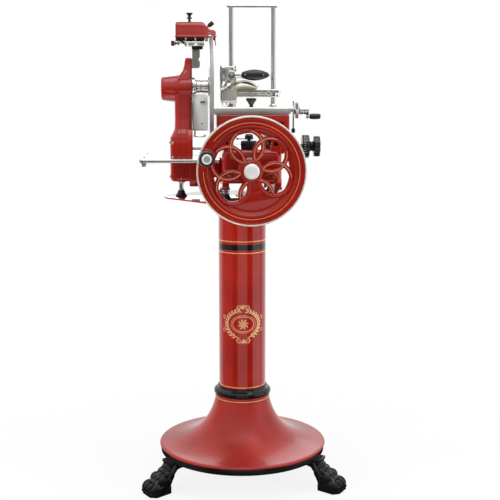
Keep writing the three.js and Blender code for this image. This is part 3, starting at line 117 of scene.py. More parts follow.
# An outline carried from low to high; a quarter circle of radius edge rounds the high rim, and of radius foot the
# low one.
def slab(outline, axis, low, high, edge=1.0, steps=3, foot=None):
    outline = np.asarray(outline, float)
    edge = min(edge, (high - low) / 2)
    foot = edge if foot is None else foot
    turn = np.linspace(0, math.pi / 2, steps + 1)
    inwards = np.concatenate([foot * (1 - np.sin(turn)), edge * (1 - np.cos(turn))])
    along = np.concatenate([low + foot * (1 - np.cos(turn)), high - edge * (1 - np.sin(turn))])
    rings = np.stack([inset(outline, d) for d in inwards])
    rows = toSpace(rings[..., 0], rings[..., 1], np.broadcast_to(along[:, None], rings.shape[:2]), axis)
    return grid(rows, caps=True)


# A box with round edges between two corners.
def block(low, high, edge=1.5, corner=None, axis="z"):
    k = {"x": (1, 2, 0), "y": (0, 2, 1), "z": (0, 1, 2)}[axis]
    outline = rectangle(low[k[0]], low[k[1]], high[k[0]], high[k[1]], edge * 1.5 if corner is None else corner)
    return slab(outline, axis, low[k[2]], high[k[2]], edge)


# (r, t) turned about the axis: u = r cos a, v = r sin a.
def lathe(profile, axis, centre, count=96, closed=False):
    profile = np.asarray(profile, float)
    a = full * np.arange(count) / count
    r, t = profile[:, :1], profile[:, 1:]
    return grid(toSpace(r * np.cos(a), r * np.sin(a), t + 0 * a, axis, centre), wrapRows=closed)


# Rows of (r, t, rounding) turned about the axis; they close in a ring where the first is off the axis.
def turned(rows, axis, centre=(0, 0, 0), count=96, steps=3):
    hollow = rows[0][0] > 0
    return lathe(fillet(rows, steps, hollow), axis, centre, count, hollow)


# A turned bar with rounded ends.
def rod(axis, low, high, radius, centre, edge=0.6, count=48):
    return turned([(0, low, 0), (radius, low, edge), (radius, high, edge), (0, high, 0)], axis, centre, count)


# A turned ring with rounded edges.
def ring(axis, low, high, outer, inner, centre, edge=0.6, count=96):
    return turned([(inner, low, edge), (outer, low, edge), (outer, high, edge), (inner, high, edge)], axis, centre,
                  count)


# x = a sin p cos q, y = b sin p sin q, z = c cos p.
def ball(centre, radii, rows=20, cols=28):
    p = np.linspace(0, math.pi, rows)[:, None]
    q = full * np.arange(cols)[None, :] / cols
    unit = np.stack([np.sin(p) * np.cos(q), np.sin(p) * np.sin(q), np.cos(p) + 0 * q], -1)
    return grid(unit * np.asarray(radii) + np.asarray(centre))


# A section's (s, n) carried along a path: point = path + s side + n normal, with side = tangent x up.
def carried(path, section, up=(0, 1, 0), closed=False, scale=None):
    path, section = np.asarray(path, float), np.asarray(section, float)
    tangent = np.roll(path, -1, 0) - np.roll(path, 1, 0) if closed else np.gradient(path, axis=0)
    tangent /= np.linalg.norm(tangent, axis=1, keepdims=True)
    side = np.cross(tangent, np.asarray(up, float))
    side /= np.maximum(np.linalg.norm(side, axis=1, keepdims=True), 1e-9)
    normal = np.cross(side, tangent)
    size = np.ones(len(path)) if scale is None else np.asarray(scale, float)
    points = (path[:, None, :] + section[None, :, :1] * side[:, None, :] * size[:, None, None]
              + section[None, :, 1:] * normal[:, None, :] * size[:, None, None])
    return grid(points, wrapRows=closed, caps=not closed)


# A shape moved by a 4 x 4 matrix whose shift is in millimetres.
def placed(shape, matrix):
    points, faces = shape
    m = np.array(matrix)
    return points @ m[:3, :3].T + m[:3, 3], faces


# A shape turned about an axis of the frame.
def spunAbout(shape, angle, axis="Z"):
    return placed(shape, Matrix.Rotation(angle, 4, axis))


# Joins shapes in one mesh, welds seams and poles, and points the faces outwards.
def meshOf(name, shapes):
    mesh = bpy.data.meshes.new(name)
    points, faces, start = [], [], 0
    for p, f in shapes:
        points.append(p)
        faces += [[v + start for v in face] for face in f]
        start += len(p)
    mesh.from_pydata((np.concatenate(points) * mm).tolist(), [], faces)
    work = bmesh.new()
    work.from_mesh(mesh)
    bmesh.ops.remove_doubles(work, verts=work.verts, dist=1e-6)
    bmesh.ops.recalc_face_normals(work, faces=work.faces)
    work.to_mesh(mesh)
    work.free()
    return mesh


# Takes the cutters away from the base; both are lists of shapes.
def carve(base, cutters):
    result = bpy.data.objects.new("carved", meshOf("carved", base))
    scene.collection.objects.link(result)
    tools = []
    for k, cutter in enumerate(cutters):
        tool = bpy.data.objects.new("cutter", meshOf("cutter", [cutter]))
        scene.collection.objects.link(tool)
        tools.append(tool)
        step = result.modifiers.new("cut", "BOOLEAN")
        step.operation, step.solver, step.object = "DIFFERENCE", "MANIFOLD", tool
    mesh = bpy.data.meshes.new_from_object(result.evaluated_get(bpy.context.evaluated_depsgraph_get()))
    for thing in [result] + tools:
        bpy.data.objects.remove(thing)
    return mesh


# A finished piece from one shape, several or a ready mesh, that rides on a body and may stand for a CAD node.
def piece(name, shapes, body, finish, stands=None, sharp=32):
    if isinstance(shapes, tuple):
        shapes = [shapes]
    mesh = shapes if isinstance(shapes, bpy.types.Mesh) else meshOf(name, shapes)
    mesh.name = name
    mesh.materials.clear()
    mesh.materials.append(finish.material)
    mesh.shade_smooth()
    mesh.set_sharp_from_angle(angle=math.radians(sharp))
    thing = bpy.data.objects.new(name, mesh)
    scene.collection.objects.link(thing)
    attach(thing, body)
    if stands:
        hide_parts(stands)
    return thing


# Materials: a wire is a value in a node tree that Python's own operators work on


class Wire:
    def __init__(self, nodes, socket):
        self.nodes, self.socket = nodes, socket

    def maths(self, operation, *others):
        return self.nodes.node("ShaderNodeMath", {"operation": operation}, [self, *others])

    def __add__(self, other):
        return self.maths("ADD", other)

    def __sub__(self, other):
        return self.maths("SUBTRACT", other)

    def __rsub__(self, other):
        return self.nodes.node("ShaderNodeMath", {"operation": "SUBTRACT"}, [other, self])

    def __mul__(self, other):
        return self.maths("MULTIPLY", other)

    def __truediv__(self, other):
        return self.maths("DIVIDE", other)

    def __pow__(self, other):
        return self.maths("POWER", other)

    __radd__ = __add__
    __rmul__ = __mul__

    def size(self):
        return self.maths("ABSOLUTE")

    # bottom below low, top above high, smooth between.
    def ramp(self, low, high, bottom=0.0, top=1.0):
        settings = {"interpolation_type": "SMOOTHSTEP"}
        return self.nodes.node("ShaderNodeMapRange", settings, [self, low, high, bottom, top])


# A node tree that is built up by method calls.
class Nodes:
    def __init__(self, tree):
        self.tree = tree

    # A node of a kind: its settings first, then the values or wires of its sockets.
    def node(self, kind, settings=None, values=(), output=0):
        made = self.tree.nodes.new(kind)
        for key, value in (settings or {}).items():
            setattr(made, key, value)
        for socket, value in (values.items() if isinstance(values, dict) else enumerate(values)):
            self.plug(made.inputs[socket], value)
        return Wire(self, made.outputs[output])

    def plug(self, socket, value):
        if isinstance(value, Wire):
            self.tree.links.new(value.socket, socket)
        else:
            socket.default_value = value


# A procedural material on one Principled shader.
class Look(Nodes):
    def __init__(self, name, colour, roughness, metallic=0.0, slot=None, **fixed):
        self.material = bpy.data.materials.new(name)
        self.material.use_nodes = True
        self.slot = slot
        super().__init__(self.material.node_tree)
        self.shader = self.tree.nodes["Principled BSDF"]
        self.give("Base Color", (*colour, 1))
        self.give("Roughness", roughness)
        self.give("Metallic", metallic)
        for socket, value in fixed.items():
            self.give(socket.replace("_", " "), value)

    def give(self, socket, value):
        self.plug(self.shader.inputs[socket], value)

    # The point in millimetres, as three wires.
    def place(self):
        spot = self.node("ShaderNodeTexCoord", output="Object")
        split = self.node("ShaderNodeSeparateXYZ", values=[spot]).socket.node
        return [Wire(self, split.outputs[k]) / mm for k in range(3)]

    def noise(self, scale, detail=3.0, stretch=(1, 1, 1)):
        spot = self.node("ShaderNodeTexCoord", output="Object")
        spot = self.node("ShaderNodeMapping", values={"Vector": spot, "Scale": stretch})
        return self.node("ShaderNodeTexNoise", values={"Vector": spot, "Scale": scale, "Detail": detail})

    # The first colour where the mask is 0 and the second where it is 1.
    def blend(self, mask, first, second):
        made = self.node("ShaderNodeMix", {"data_type": "RGBA"}, {0: mask}).socket.node
        for socket, value in ((made.inputs[6], first), (made.inputs[7], second)):
            self.plug(socket, value if isinstance(value, Wire) else (*value, 1))
        return Wire(self, made.outputs[2])

    def bump(self, height, strength, distance):
        values = {"Strength": strength, "Distance": distance * mm, "Height": height}
        self.give("Normal", self.node("ShaderNodeBump", values=values))


# Distance of a point from a centre in a plane.
def radiusFrom(centre, u, v):
    return ((u - centre[0]) ** 2 + (v - centre[1]) ** 2) ** 0.5


# 1 within half of the centre and 0 outside, with soft edges.
def band(value, centre, half, soft=0.35):
    return 1 - (value - centre).size().ramp(half - soft, half + soft)


gold = (0.78, 0.4, 0.19)
black = (0.008, 0.008, 0.009)
reds = ((0.34, 0.013, 0.006), (0.235, 0.007, 0.004))
# A darker copy of the red enamel for the flywheel and its petals: painted shade on the wheel's face.
wheelRedsPaintedShade = ((0.275, 0.011, 0.0045), (0.2, 0.0065, 0.003))
# A brighter copy of the red enamel for the machine base: painted light, standing in for the light the flywheel keeps
# off the base's front.
baseRedsPaintedLight = ((0.46, 0.017, 0.009), (0.36, 0.012, 0.007))


# Sprayed gloss enamel in a light and a deep tone: slow tone drift, fine orange peel, faint dust in the roughness and
# a clear coat, with gold paint where the mask from marks(look) is 1.
def enamel(name, tones=reds, slot="red_enamel", roughness=0.1, peel=0.16, coat=0.85, soft=0.035, marks=None):
    look = Look(name, tones[0], roughness, slot=slot, Coat_Weight=coat, Coat_Roughness=soft, Specular_IOR_Level=0.05)
    look.tone = look.blend(look.noise(7.0).ramp(0.3, 0.7), tones[1], tones[0])
    dust = look.noise(38.0, 4.0) * 0.12 + roughness
    if marks:
        mask = marks(look)
        look.tone = look.blend(mask * look.noise(180.0).ramp(0.22, 0.4), look.tone, gold)
        dust = dust + mask * 0.18
        look.give("Metallic", mask * 0.35)
    look.give("Base Color", look.tone)
    look.give("Roughness", dust)
    look.bump(look.noise(420.0, 2.0) + look.noise(60.0, 1.0) * 0.6, peel, 0.08)
    return look


# Polished or brushed metal: streaked roughness, tone clouds and a hair-fine bump.
def metal(name, colour, roughness, slot, scratch=0.1, streak=(1, 1, 1), scale=160.0, grime=0.3, metallic=1.0):
    look = Look(name, colour, roughness, metallic, slot)
    streaks = look.noise(scale, 4.0, streak)
    cloud = look.noise(12.0)
    dark = tuple(c * (1 - grime) for c in colour)
    look.give("Base Color", look.blend(cloud.ramp(0.35, 0.75) * 0.6 + streaks * 0.25, colour, dark))
    look.give("Roughness", streaks * scratch * 1.4 + cloud * 0.05 + roughness)
    look.bump(streaks, scratch, 0.05)
    return look


# Moulded plastic or rubber: fine grain, rubbed patches.
def plastic(name, tone, roughness, slot, grain, depth):
    look = Look(name, tone, roughness, slot=slot, Coat_Weight=0.3, Coat_Roughness=0.15, Specular_IOR_Level=0.25)
    pale = tuple(c * 2.2 + 0.004 for c in tone)
    look.give("Base Color", look.blend(look.noise(30.0, 4.0).ramp(0.45, 0.8) * 0.6, tone, pale))
    look.give("Roughness", look.noise(50.0, 4.0) * 0.22 + roughness)
    look.bump(look.noise(grain), depth, 0.12)
    return look


# A flat material whose tone wanders between two colours with a noise.
def speckled(name, slot, tones, scale, span, detail=3.0, **fixed):
    look = Look(name, tones[1], 0.5, slot=slot, **fixed)
    look.give("Base Color", look.blend(look.noise(scale, detail).ramp(*span), *tones))
    return look


red = enamel("redEnamel")
blackEnamel = enamel("blackEnamel", (black, (0.004, 0.004, 0.005)), "black_enamel", 0.08, coat=0.5)
chrome = metal("chrome", (0.74, 0.74, 0.7), 0.06, "chrome", 0.05)
brushed = metal("turnedSteel", (0.55, 0.55, 0.53), 0.22, "steel", 0.2, (1, 1, 12))
polished = metal("polishedPlate", (0.8, 0.79, 0.75), 0.16, "blade_steel", 0.12, (1, 14, 1), 120.0, 0.2)
castMetal = metal("polishedCasting", (0.84, 0.83, 0.78), 0.1, "cast_metal", 0.12, scale=90.0, grime=0.35)
knobBlack = plastic("blackKnob", (0.012, 0.012, 0.014), 0.14, "black_knob", 200.0, 0.08)
rubber = plastic("rubberFoot", (0.014, 0.014, 0.014), 0.42, "rubber_foot", 420.0, 0.3)
bronze = metal("boredBronze", (0.5, 0.3, 0.12), 0.25, "bronze", 0.2)
gritLook = speckled("grindingGrit", "grinding_grit", ((0.2, 0.19, 0.18), (0.5, 0.48, 0.45)), 900.0, (0.35, 0.65), 4.0)
gritLook.give("Roughness", gritLook.noise(300.0) * 0.2 + 0.7)
gritLook.bump(gritLook.noise(1200.0), 0.6, 0.2)
goldPaint = speckled("goldPaint", "red_enamel", ((0.62, 0.32, 0.14), (0.8, 0.48, 0.24)), 240.0, (0.3, 0.6),
                     metallic=0.45, Coat_Weight=0.6, Coat_Roughness=0.08)
goldPaint.give("Roughness", goldPaint.noise(120.0) * 0.2 + 0.28)
scalePaint = speckled("scaleMarks", "black_knob", ((0.55, 0.54, 0.5), (0.8, 0.79, 0.75)), 200.0, (0.3, 0.6))
ironLook = enamel("pawIron", ((0.013, 0.011, 0.011), (0.004, 0.004, 0.004)), "black_iron", 0.16, 0.3, 0.4, 0.1)
ironLook.bump(ironLook.noise(90.0, 4.0) + ironLook.noise(26.0, 2.0) * 1.5, 0.35, 0.5)
print("materials ready")

# Pedestal: three paws, foot ring, bell, collar and column
footSizes = {"high": 97.7, "low": 0.15, "angles": {"left": 210, "right": 330, "rear": 90}}
columnMarks = {"black": (748, 766), "lines": (739.5, 775.5, 309.5), "half": 1.3, "bell": 266}


# Cubic Bezier curve through four control points.
def bezier(p0, p1, p2, p3, count):
    t = np.linspace(0, 1, count)[:, None]
    return ((1 - t) ** 3 * np.array(p0) + 3 * t * (1 - t) ** 2 * np.array(p1) + 3 * t**2 * (1 - t) * np.array(p2)
            + t**3 * np.array(p3))


# Along the leg's centre curve an egg-shaped section grows into the paw; toes, knuckles and claws stand on it.
def pawShapes():
    centre = bezier((232, 0, 84), (276, 0, 84), (270, 0, 54), (300, 0, 34), 26)
    centre = np.concatenate([centre, bezier((298, 0, 34), (308, 0, 30), (318, 0, 27), (330, 0, 24), 8)[1:]])
    s = np.linspace(0, 1, len(centre))
    wide = np.interp(s, [0, 0.25, 0.5, 0.75, 1], [25, 22, 23, 33, 34])
    tall = np.interp(s, [0, 0.25, 0.5, 0.75, 1], [14, 20, 24, 30, 22])
    a = full * np.arange(40) / 40
    tangent = np.gradient(centre, axis=0)
    tangent /= np.linalg.norm(tangent, axis=1, keepdims=True)
    normal = np.cross(tangent, [0, 1, 0])
    fold = 1 + 0.05 * np.cos(6 * a[None, :]) * np.sin(9 * math.pi * s[:, None])
    points = (centre[:, None, :] + (wide[:, None] * np.cos(a) * fold)[..., None] * np.array([0, 1, 0])
              + (tall[:, None] * np.sin(a) * fold)[..., None] * normal[:, None, :])
    points[..., 2] = np.clip(points[..., 2], 0.2, footSizes["high"])
    shapes = [grid(points, caps=True)]
    cuff = rectangle(212, -29, 283, 29, 9)
    levels = np.array([[0, 97.7], [0, 92], [-2.5, 89], [-6, 80], [-9, 74]])
    rings = np.stack([np.column_stack([inset(cuff, -d), np.full(len(cuff), z)]) for d, z in levels])
    shapes.append(grid(rings[::-1], caps=True))
    pad = fillet(mirrored([(276, -26, 6), (334, -38, 3), (352, -22, 3)]), 3)
    shapes.append(slab(pad, "z", 0.2, 24, 2.5, 3))
    for t, reach in ((-27, 327), (-9.5, 332), (9.5, 332), (27, 327)):
        shapes += [
            ball((reach, t * 1.06, 20), (25, 9.6, 21)), ball((reach - 22, t * 0.96, 44), (19, 9.6, 18)),
            ball((reach - 42, t * 0.84, 60), (15, 9, 14)),
            ball((reach + 14, t * 1.02, 11), (13.5, 5.5, 9), 14, 16),
        ]
    for side in (-1, 1):
        tuft = bezier((262, side * 24, 88), (272, side * 31, 74), (276, side * 30, 60), (296, side * 33, 50), 14)
        shapes.append(carried(tuft, circle(1, 12), (0, 0, 1),
                              scale=np.interp(np.linspace(0, 1, 14), [0, 0.5, 1], [7, 8, 2])))
    for z, x in ((82, 262), (72, 272), (61, 283)):
        bow = np.linspace(-1, 1, 18)
        wrinkle = np.stack([x + 10 * (1 - bow**2) + 6, 27 * bow, z + 10 * (1 - bow**2)], -1)
        shapes.append(carried(wrinkle, circle(1, 10), (1, 0, 1), scale=4.5 - 2 * np.abs(bow)))
    return [(np.clip(points, [-np.inf, -np.inf, footSizes["low"]], [np.inf, np.inf, footSizes["high"]]), faces)
            for points, faces in shapes]


for side, angle in footSizes["angles"].items():
    piece("paw_" + side, [spunAbout(shape, math.radians(angle)) for shape in pawShapes()], "base", ironLook,
          "lion_foot_" + side, 50)


def columnLines(look):
    z = look.place()[2]
    return sum(band(z, line, columnMarks["half"]) for line in columnMarks["lines"])


def bellLine(look):
    return band(look.place()[2], columnMarks["bell"], columnMarks["half"])


bellLook = enamel("bellEnamel", soft=0.46, marks=bellLine)
columnLook = enamel("columnEnamel", marks=columnLines)
height = columnLook.place()[2]
low, high = columnMarks["black"]
ringMask = height.ramp(low - 0.3, low + 0.3) * (1 - height.ramp(high - 0.3, high + 0.3))
columnLook.give("Base Color", columnLook.blend(ringMask, columnLook.tone, black))

piece("foot_ring", turned([(205, 98, 1), (240, 98, 1), (242, 91, 1), (263, 91, 4), (263, 111, 1), (205, 111, 1)], "z",
                          (0, 0, 0), 160, 4), "base", ironLook, "base_ring")
bellOuter = bezier((87, 262), (103, 188), (150, 126.3), (259, 119.3), 60)
lip = np.array([(263, 118.6), (265.6, 117), (266.8, 114.6), (266.4, 112.2), (264.8, 111.4), (252, 111.4)])
bellInner = bezier((244, 115), (146, 121), (97, 184), (80, 250), 30)
bellProfile = np.concatenate([[(9, 261.9), (80, 261.9)], bellOuter, lip, bellInner, [(9, 250)]])
piece("bell", lathe(bellProfile, "z", (0, 0, 0), 192, True), "base", bellLook, "base_bell", 50)
piece("collar_seat", turned([(75, 262.4, 0), (87, 262.4, 0.5), (87, 275.6, 1), (75, 275.6, 0)], "z", (0, 0, 0), 160),
      "base", bellLook, sharp=50)
piece("collar", turned([(75, 275.8, 0), (87.5, 275.8, 3), (91.2, 280, 5), (91.2, 290, 5), (84, 296, 4),
                        (79, 298.5, 2), (79, 303.8, 1), (75, 303.8, 0)], "z", (0, 0, 0), 160, 5), "base", blackEnamel,
      "collar_ring", 50)
piece("column", turned([(69.4, 262.4, 0), (74.4, 262.4, 0.5), (74.4, 893.7, 5), (98, 893.7, 2), (98, 905.7, 1),
                        (69.4, 905.7, 0)], "z", (0, 0, 0), 160, 5), "base", columnLook, "column_tube", 50)
deckOutline = fillet(mirrored([(-238, -28, 14), (-105, -190, 20), (138, -190, 14)]) + [(-244.6, 0, 26)], 8)
piece("deck", slab(deckOutline, "z", 906, 911, 1.6), "base", red, "stand_plate", 40)
print("pedestal ready")

# Flywheel
wheelCentre = (17.0, 1007.0)
wheelAxis = (wheelCentre[0], 0, wheelCentre[1])
wheelSizes = {"petalAt": 72.3, "first": 41, "apart": 60, "petal": 40.9, "petalLine": 47.3, "crankAt": 137,
              "crankAngle": 162, "rim": 154.7, "line": 139.5, "lineHalf": 0.6, "gapFrom": 141, "gapTo": 181}


# A point on the wheel by radius and angle in degrees.
def onWheel(radius, degrees):
    angle = math.radians(degrees)
    return (wheelCentre[0] + radius * math.cos(angle), 0, wheelCentre[1] + radius * math.sin(angle))


# The rim's gold line, which stops short of the crank, on the front only.
def rimLine(look):
    x, y, z = look.place()
    angle = (z - wheelCentre[1]).maths("ARCTAN2", x - wheelCentre[0])
    middle, half = (math.radians((wheelSizes["gapTo"] + way * wheelSizes["gapFrom"]) / 2) for way in (1, -1))
    line = band(radiusFrom(wheelCentre, x, z), wheelSizes["line"], wheelSizes["lineHalf"])
    return line * (angle - middle).size().ramp(half - 0.01, half) * (1 - y.ramp(-250, -249))


# The wheel takes the darker copy of the red: painted shade.
wheelLook = enamel("wheelEnamel", wheelRedsPaintedShade, marks=rimLine)
wheelShapes = [turned([(110, -229, 1.5), (110, -246.5, 3), (123, -246.5, 5), (127.5, -254.8, 5), (154.8, -254.8, 1),
                       (154.8, -221.2, 1), (126, -221.2, 3), (126, -229, 2)], "y", wheelAxis, 192, 6)]
wheelShapes.append(turned([(11, -221.2, 0), (33, -221.2, 2), (33, -246, 6), (30, -253, 5), (11, -254.8, 0)], "y",
                          wheelAxis, 96, 5))
petalAngles = [wheelSizes["first"] - wheelSizes["apart"] * k for k in range(6)]
petalCentres = [onWheel(wheelSizes["petalAt"], angle) for angle in petalAngles]
filled = 2
fillMiddle = math.radians(petalAngles[filled])
fillSpread = math.radians(52)
sector = np.concatenate([circle(112, 60, wheelCentre, fillMiddle - fillSpread, 2 * fillSpread),
                         circle(62, 40, wheelCentre, fillMiddle + fillSpread * 0.9, -2 * fillSpread * 0.9)])
openings = [rod("y", -260, -220, wheelSizes["petal"], petalCentres[k], 0.3, 96) for k in (filled - 1, filled + 1)]
disc = turned([(0, -231, 0), (48, -231, 1), (48, -246.3, 1), (0, -246.3, 0)], "y", petalCentres[filled])
piece("petal_fill", carve([disc], openings), "wheel", wheelLook, sharp=50)
piece("petal_web", carve([slab(sector, "y", -246.5, -229, 0.5)], openings), "wheel", wheelLook, sharp=50)
crankPoint = onWheel(wheelSizes["crankAt"], wheelSizes["crankAngle"])
boss = turned([(0, -221.3, 0), (25, -221.3, 1), (25, -250, 6), (23.5, -257.8, 3), (0, -257.8, 0)], "y", crankPoint,
              96, 5)
fromHub = boss[0] - np.array(wheelAxis)
shrink = np.minimum(1, wheelSizes["rim"] / np.maximum(np.hypot(fromHub[:, 0], fromHub[:, 2]), 1))
fromHub[:, [0, 2]] *= shrink[:, None]
wheelShapes.append((fromHub + np.array(wheelAxis), boss[1]))
piece("wheel_red", wheelShapes, "wheel", wheelLook, "flywheel", 50)
wheelChrome = metal("wheelRimSteel", (0.84, 0.79, 0.69), 0.14, "chrome", 0.08, scale=120.0, grime=0.2, metallic=0.55)
piece("wheel_band", turned([(154.9, -254.9, 0.4), (159.6, -254.9, 2.4), (159.6, -221.1, 2.4), (154.9, -221.1, 0.4)],
                           "y", wheelAxis, 192, 5), "wheel", wheelChrome, sharp=50)
petalProfile = fillet([(40.8, -229, 2), (53.8, -229, 2), (53.8, -246.5, 2), (51.4, -250.6, 2), (49.2, -252.2, 1.5),
                       (45.4, -252.2, 1.5), (43.2, -250.6, 2), (40.8, -246.5, 2)], 3)


# A petal's gold line on its front stops short of the rim and the hub. Beside the filled petal it keeps to the far
# side, and the filled petal's own line is the inner half.
def petalLine(look, k):
    x, y, z = look.place()
    centre, angle = petalCentres[k], math.radians(petalAngles[k])
    outwards = (x - centre[0]) * math.cos(angle) + (z - centre[2]) * math.sin(angle)
    sideways = (z - centre[2]) * math.cos(angle) - (x - centre[0]) * math.sin(angle)
    line = band(radiusFrom((centre[0], centre[2]), x, z), wheelSizes["petalLine"], 0.62) * (1 - y.ramp(-251.5, -251))
    stop = (-0.5, 0.2) if k == filled else (42, 42.8)
    line = line * (1 - outwards.ramp(*stop)) * radiusFrom(wheelCentre, x, z).ramp(33, 34)
    far = {filled - 1: 1, filled + 1: -1}.get(k)
    return line * (sideways * far).ramp(0, 0.6) if far else line


for k, centre in enumerate(petalCentres):
    # The petals take the darker wheel red too: painted shade.
    look = enamel("petalEnamel%d" % k, wheelRedsPaintedShade, marks=lambda look: petalLine(look, k))
    if k == filled:
        arc = circle(wheelSizes["petalLine"], 80, (centre[0], centre[2]), math.radians(4), math.radians(192))
        shape = carried(toSpace(arc[:, 0], arc[:, 1], 0 * arc[:, 0], "y"),
                        petalProfile - [wheelSizes["petalLine"], 0])
    else:
        shape = lathe(petalProfile, "y", centre, 128, True)
    piece("petal_%d" % k, shape, "wheel", look, sharp=50)
capLook, spindleLook = (metal(name, (0.8, 0.81, 0.79), 0.22, "chrome", 0.06, scale=60.0, grime=0.12, metallic=0.35)
                        for name in ("hubCap", "spindleEnd"))
piece("hub_dome", turned([(0, -262.2, 0), (14, -261.6, 8), (21, -258.5, 3), (23, -255.4, 0.5), (0, -255.4, 0)], "y",
                         wheelAxis, 96, 6), "wheel", capLook, "hub_cap", 50)
sx, _, sz = spindleLook.place()
fromPin = radiusFrom((crankPoint[0], crankPoint[2]), sx, sz)
ringTone = spindleLook.blend((fromPin * 1.4).maths("SINE").ramp(-0.6, 0.8), (0.2, 0.185, 0.12), (0.5, 0.47, 0.36))
spindleLook.give("Base Color", spindleLook.blend(fromPin.ramp(8.6, 9.2), ringTone, (0.8, 0.81, 0.79)))
piece("grip_spindle", turned([(0, -360, 0), (13, -360, 1.5), (14, -359, 1), (14, -355.3, 0.4), (6, -355.3, 0.5),
                              (6, -263.3, 0.5), (15, -263.3, 1), (15, -258.4, 1), (6, -258.4, 0.5), (6, -221.3, 0.5),
                              (0, -221.3, 0)], "y", crankPoint, 64), "wheel", spindleLook, "handle_spindle", 40)
piece("grip", turned([(6.6, -354.4, 0), (12, -354.4, 2), (20, -353.6, 5), (22.6, -349, 6), (22.6, -330, 12),
                      (19.2, -290, 18), (17.6, -272, 8), (15.2, -264.2, 3), (6.6, -264.2, 0)], "y", crankPoint, 96,
                     6), "wheel_grip", knobBlack, "crank_handle", 50)
print("flywheel ready")

# Machine base, rails, feet and lock knob
crossAxis = (0, 0, 1007)
rails = {"left": -48, "right": 92, "height": 1083}
railX = (rails["left"], rails["right"])
baseSizes = {"left": -67, "right": 111, "half": 185, "low": 966, "top": 1066, "wall": 8, "legLow": 946, "round": 9}
lowX, highX, halfY, wall = (baseSizes[key] for key in ("left", "right", "half", "wall"))
# The base casting and its details take the brighter red: painted light in place of the light the flywheel blocks.
baseLook = enamel("baseEnamel", baseRedsPaintedLight)
baseShell = carve(
    [slab(rectangle(lowX, -halfY, highX, halfY, 30, 10), "z", baseSizes["low"], baseSizes["top"], 20, 8, 4)],
    [slab(rectangle(lowX + wall, -halfY + wall, highX - wall, halfY - wall, baseSizes["round"]), "z", 950, 1058, 2),
     block((66, -87.6, 1050), (78, 87.6, 1075), 1), rod("x", -80, -50, 9.3, crossAxis),
     rod("y", -230, -160, 15.6, wheelAxis)])
piece("base_shell", baseShell, "base", baseLook, "base_casting", 40)
baseDetails = []
for x in (lowX, highX - 22):
    for side in (-1, 1):
        y0, y1 = sorted((side * 95, side * 172))
        baseDetails.append(block((x + 0.5, y0, baseSizes["legLow"]), (x + 21.5, y1, 978), 3, 5))
        baseDetails.append(block((x - 1.5, y0 - 4, baseSizes["legLow"]), (x + 23.5, y1 + 4, baseSizes["legLow"] + 7),
                                 2.5, 6))
for x in railX:
    for y0 in (-180, 170):
        cheek = fillet([(x - 15, 1048, 0), (x + 15, 1048, 0), (x + 15, 1095, 13), (x - 15, 1095, 13)], 8)
        baseDetails.append(slab(cheek, "y", y0, y0 + 10, 2))
baseDetails.append(turned([(15.6, -214.8, 1), (27, -214.8, 3), (27, -196, 10), (38, -184, 3), (38, -178, 0),
                           (15.6, -178, 0)], "y", wheelAxis, 96, 6))
earShape = fillet([(-77, 1046, 6), (-43, 1046, 6), (-43, 1085, 16), (-77, 1085, 16)], 8)
baseDetails.append(slab(earShape, "x", 107.5, 125, 2.5))
piece("base_details", baseDetails, "base", baseLook)


# A low band along a flat curve (s, z), widest where width says, that onto(s, z, height) lays on a surface.
def ribbon(line, width, onto, high=0.45):
    line = np.asarray(line, float)
    way = np.gradient(line, axis=0)
    way /= np.maximum(np.linalg.norm(way, axis=1, keepdims=True), 1e-9)
    across = np.stack([-way[:, 1], way[:, 0]], -1)
    half = np.broadcast_to(np.asarray(width, float), len(line))[:, None] * np.array([-1, -0.6, 0, 0.6, 1])
    flat = line[:, None, :] + across[:, None, :] * half[..., None]
    rise = np.broadcast_to(np.array([-0.6, 0.6, 1, 0.6, -0.6]) * high, half.shape)
    return grid(onto(flat[..., 0], flat[..., 1], rise), caps=True)


# Radius shrinks along the turn: r = radius (1 - 0.85 t), angle = start + turns t.
def spiral(centre, radius, start, turns, count=44):
    t = np.linspace(0, 1, count)
    r, a = radius * (1 - 0.85 * t), start + full * turns * t
    return np.stack([centre[0] + r * np.cos(a), centre[1] + r * np.sin(a)], -1)


def ontoBase(s, z, high):
    return np.stack([s, -185 - high, z], -1)


scrolls = []
middle = 22
for way in (1, -1):
    corner = middle + way * 66
    curl = spiral((corner, 988), 7.5, math.pi / 2, -1.3 * way, 50)
    tail = bezier((middle + way * 8, 0, 983), (middle + way * 26, 0, 976), (middle + way * 48, 0, 1000),
                  (corner, 0, 995.5), 26)[:, [0, 2]]
    scrolls += [ribbon(np.concatenate([tail[:-1], curl]),
                       np.interp(np.linspace(0, 1, 75), [0, 0.4, 1], [0.3, 0.95, 0.45]), ontoBase),
                ribbon(spiral((middle + way * 20, 990), 4.5, 0, 1.1 * way), 0.55, ontoBase)]
scrolls.append(ribbon([(x, 974.5) for x in np.linspace(-42, 86, 40)], 0.5, ontoBase))
piece("base_scrolls", scrolls, "base", goldPaint, sharp=60)

# Gold medallion on the column: a wreath round an oval with a rosette, and four curls
crestSizes = {"middle": 515, "radius": 74.35, "oval": (34, 24), "wreath": (55, 44), "leaves": 12}


def ontoColumn(s, z, high):
    r = crestSizes["radius"] + high
    return np.stack([r * np.sin(s / crestSizes["radius"]), -r * np.cos(s / crestSizes["radius"]),
                     z + crestSizes["middle"]], -1)


def leaf(root, heading, length, width):
    t = np.linspace(0, 1, 12)[:, None]
    aim = np.array([math.cos(heading), math.sin(heading)])
    bow = np.array([-aim[1], aim[0]]) * np.sin(math.pi * t) * length * 0.12
    widths = width * np.sin(math.pi * np.clip(t[:, 0] * 0.93 + 0.05, 0, 1)) ** 0.8
    return ribbon(np.array(root) + aim * t * length + bow, widths, ontoColumn)


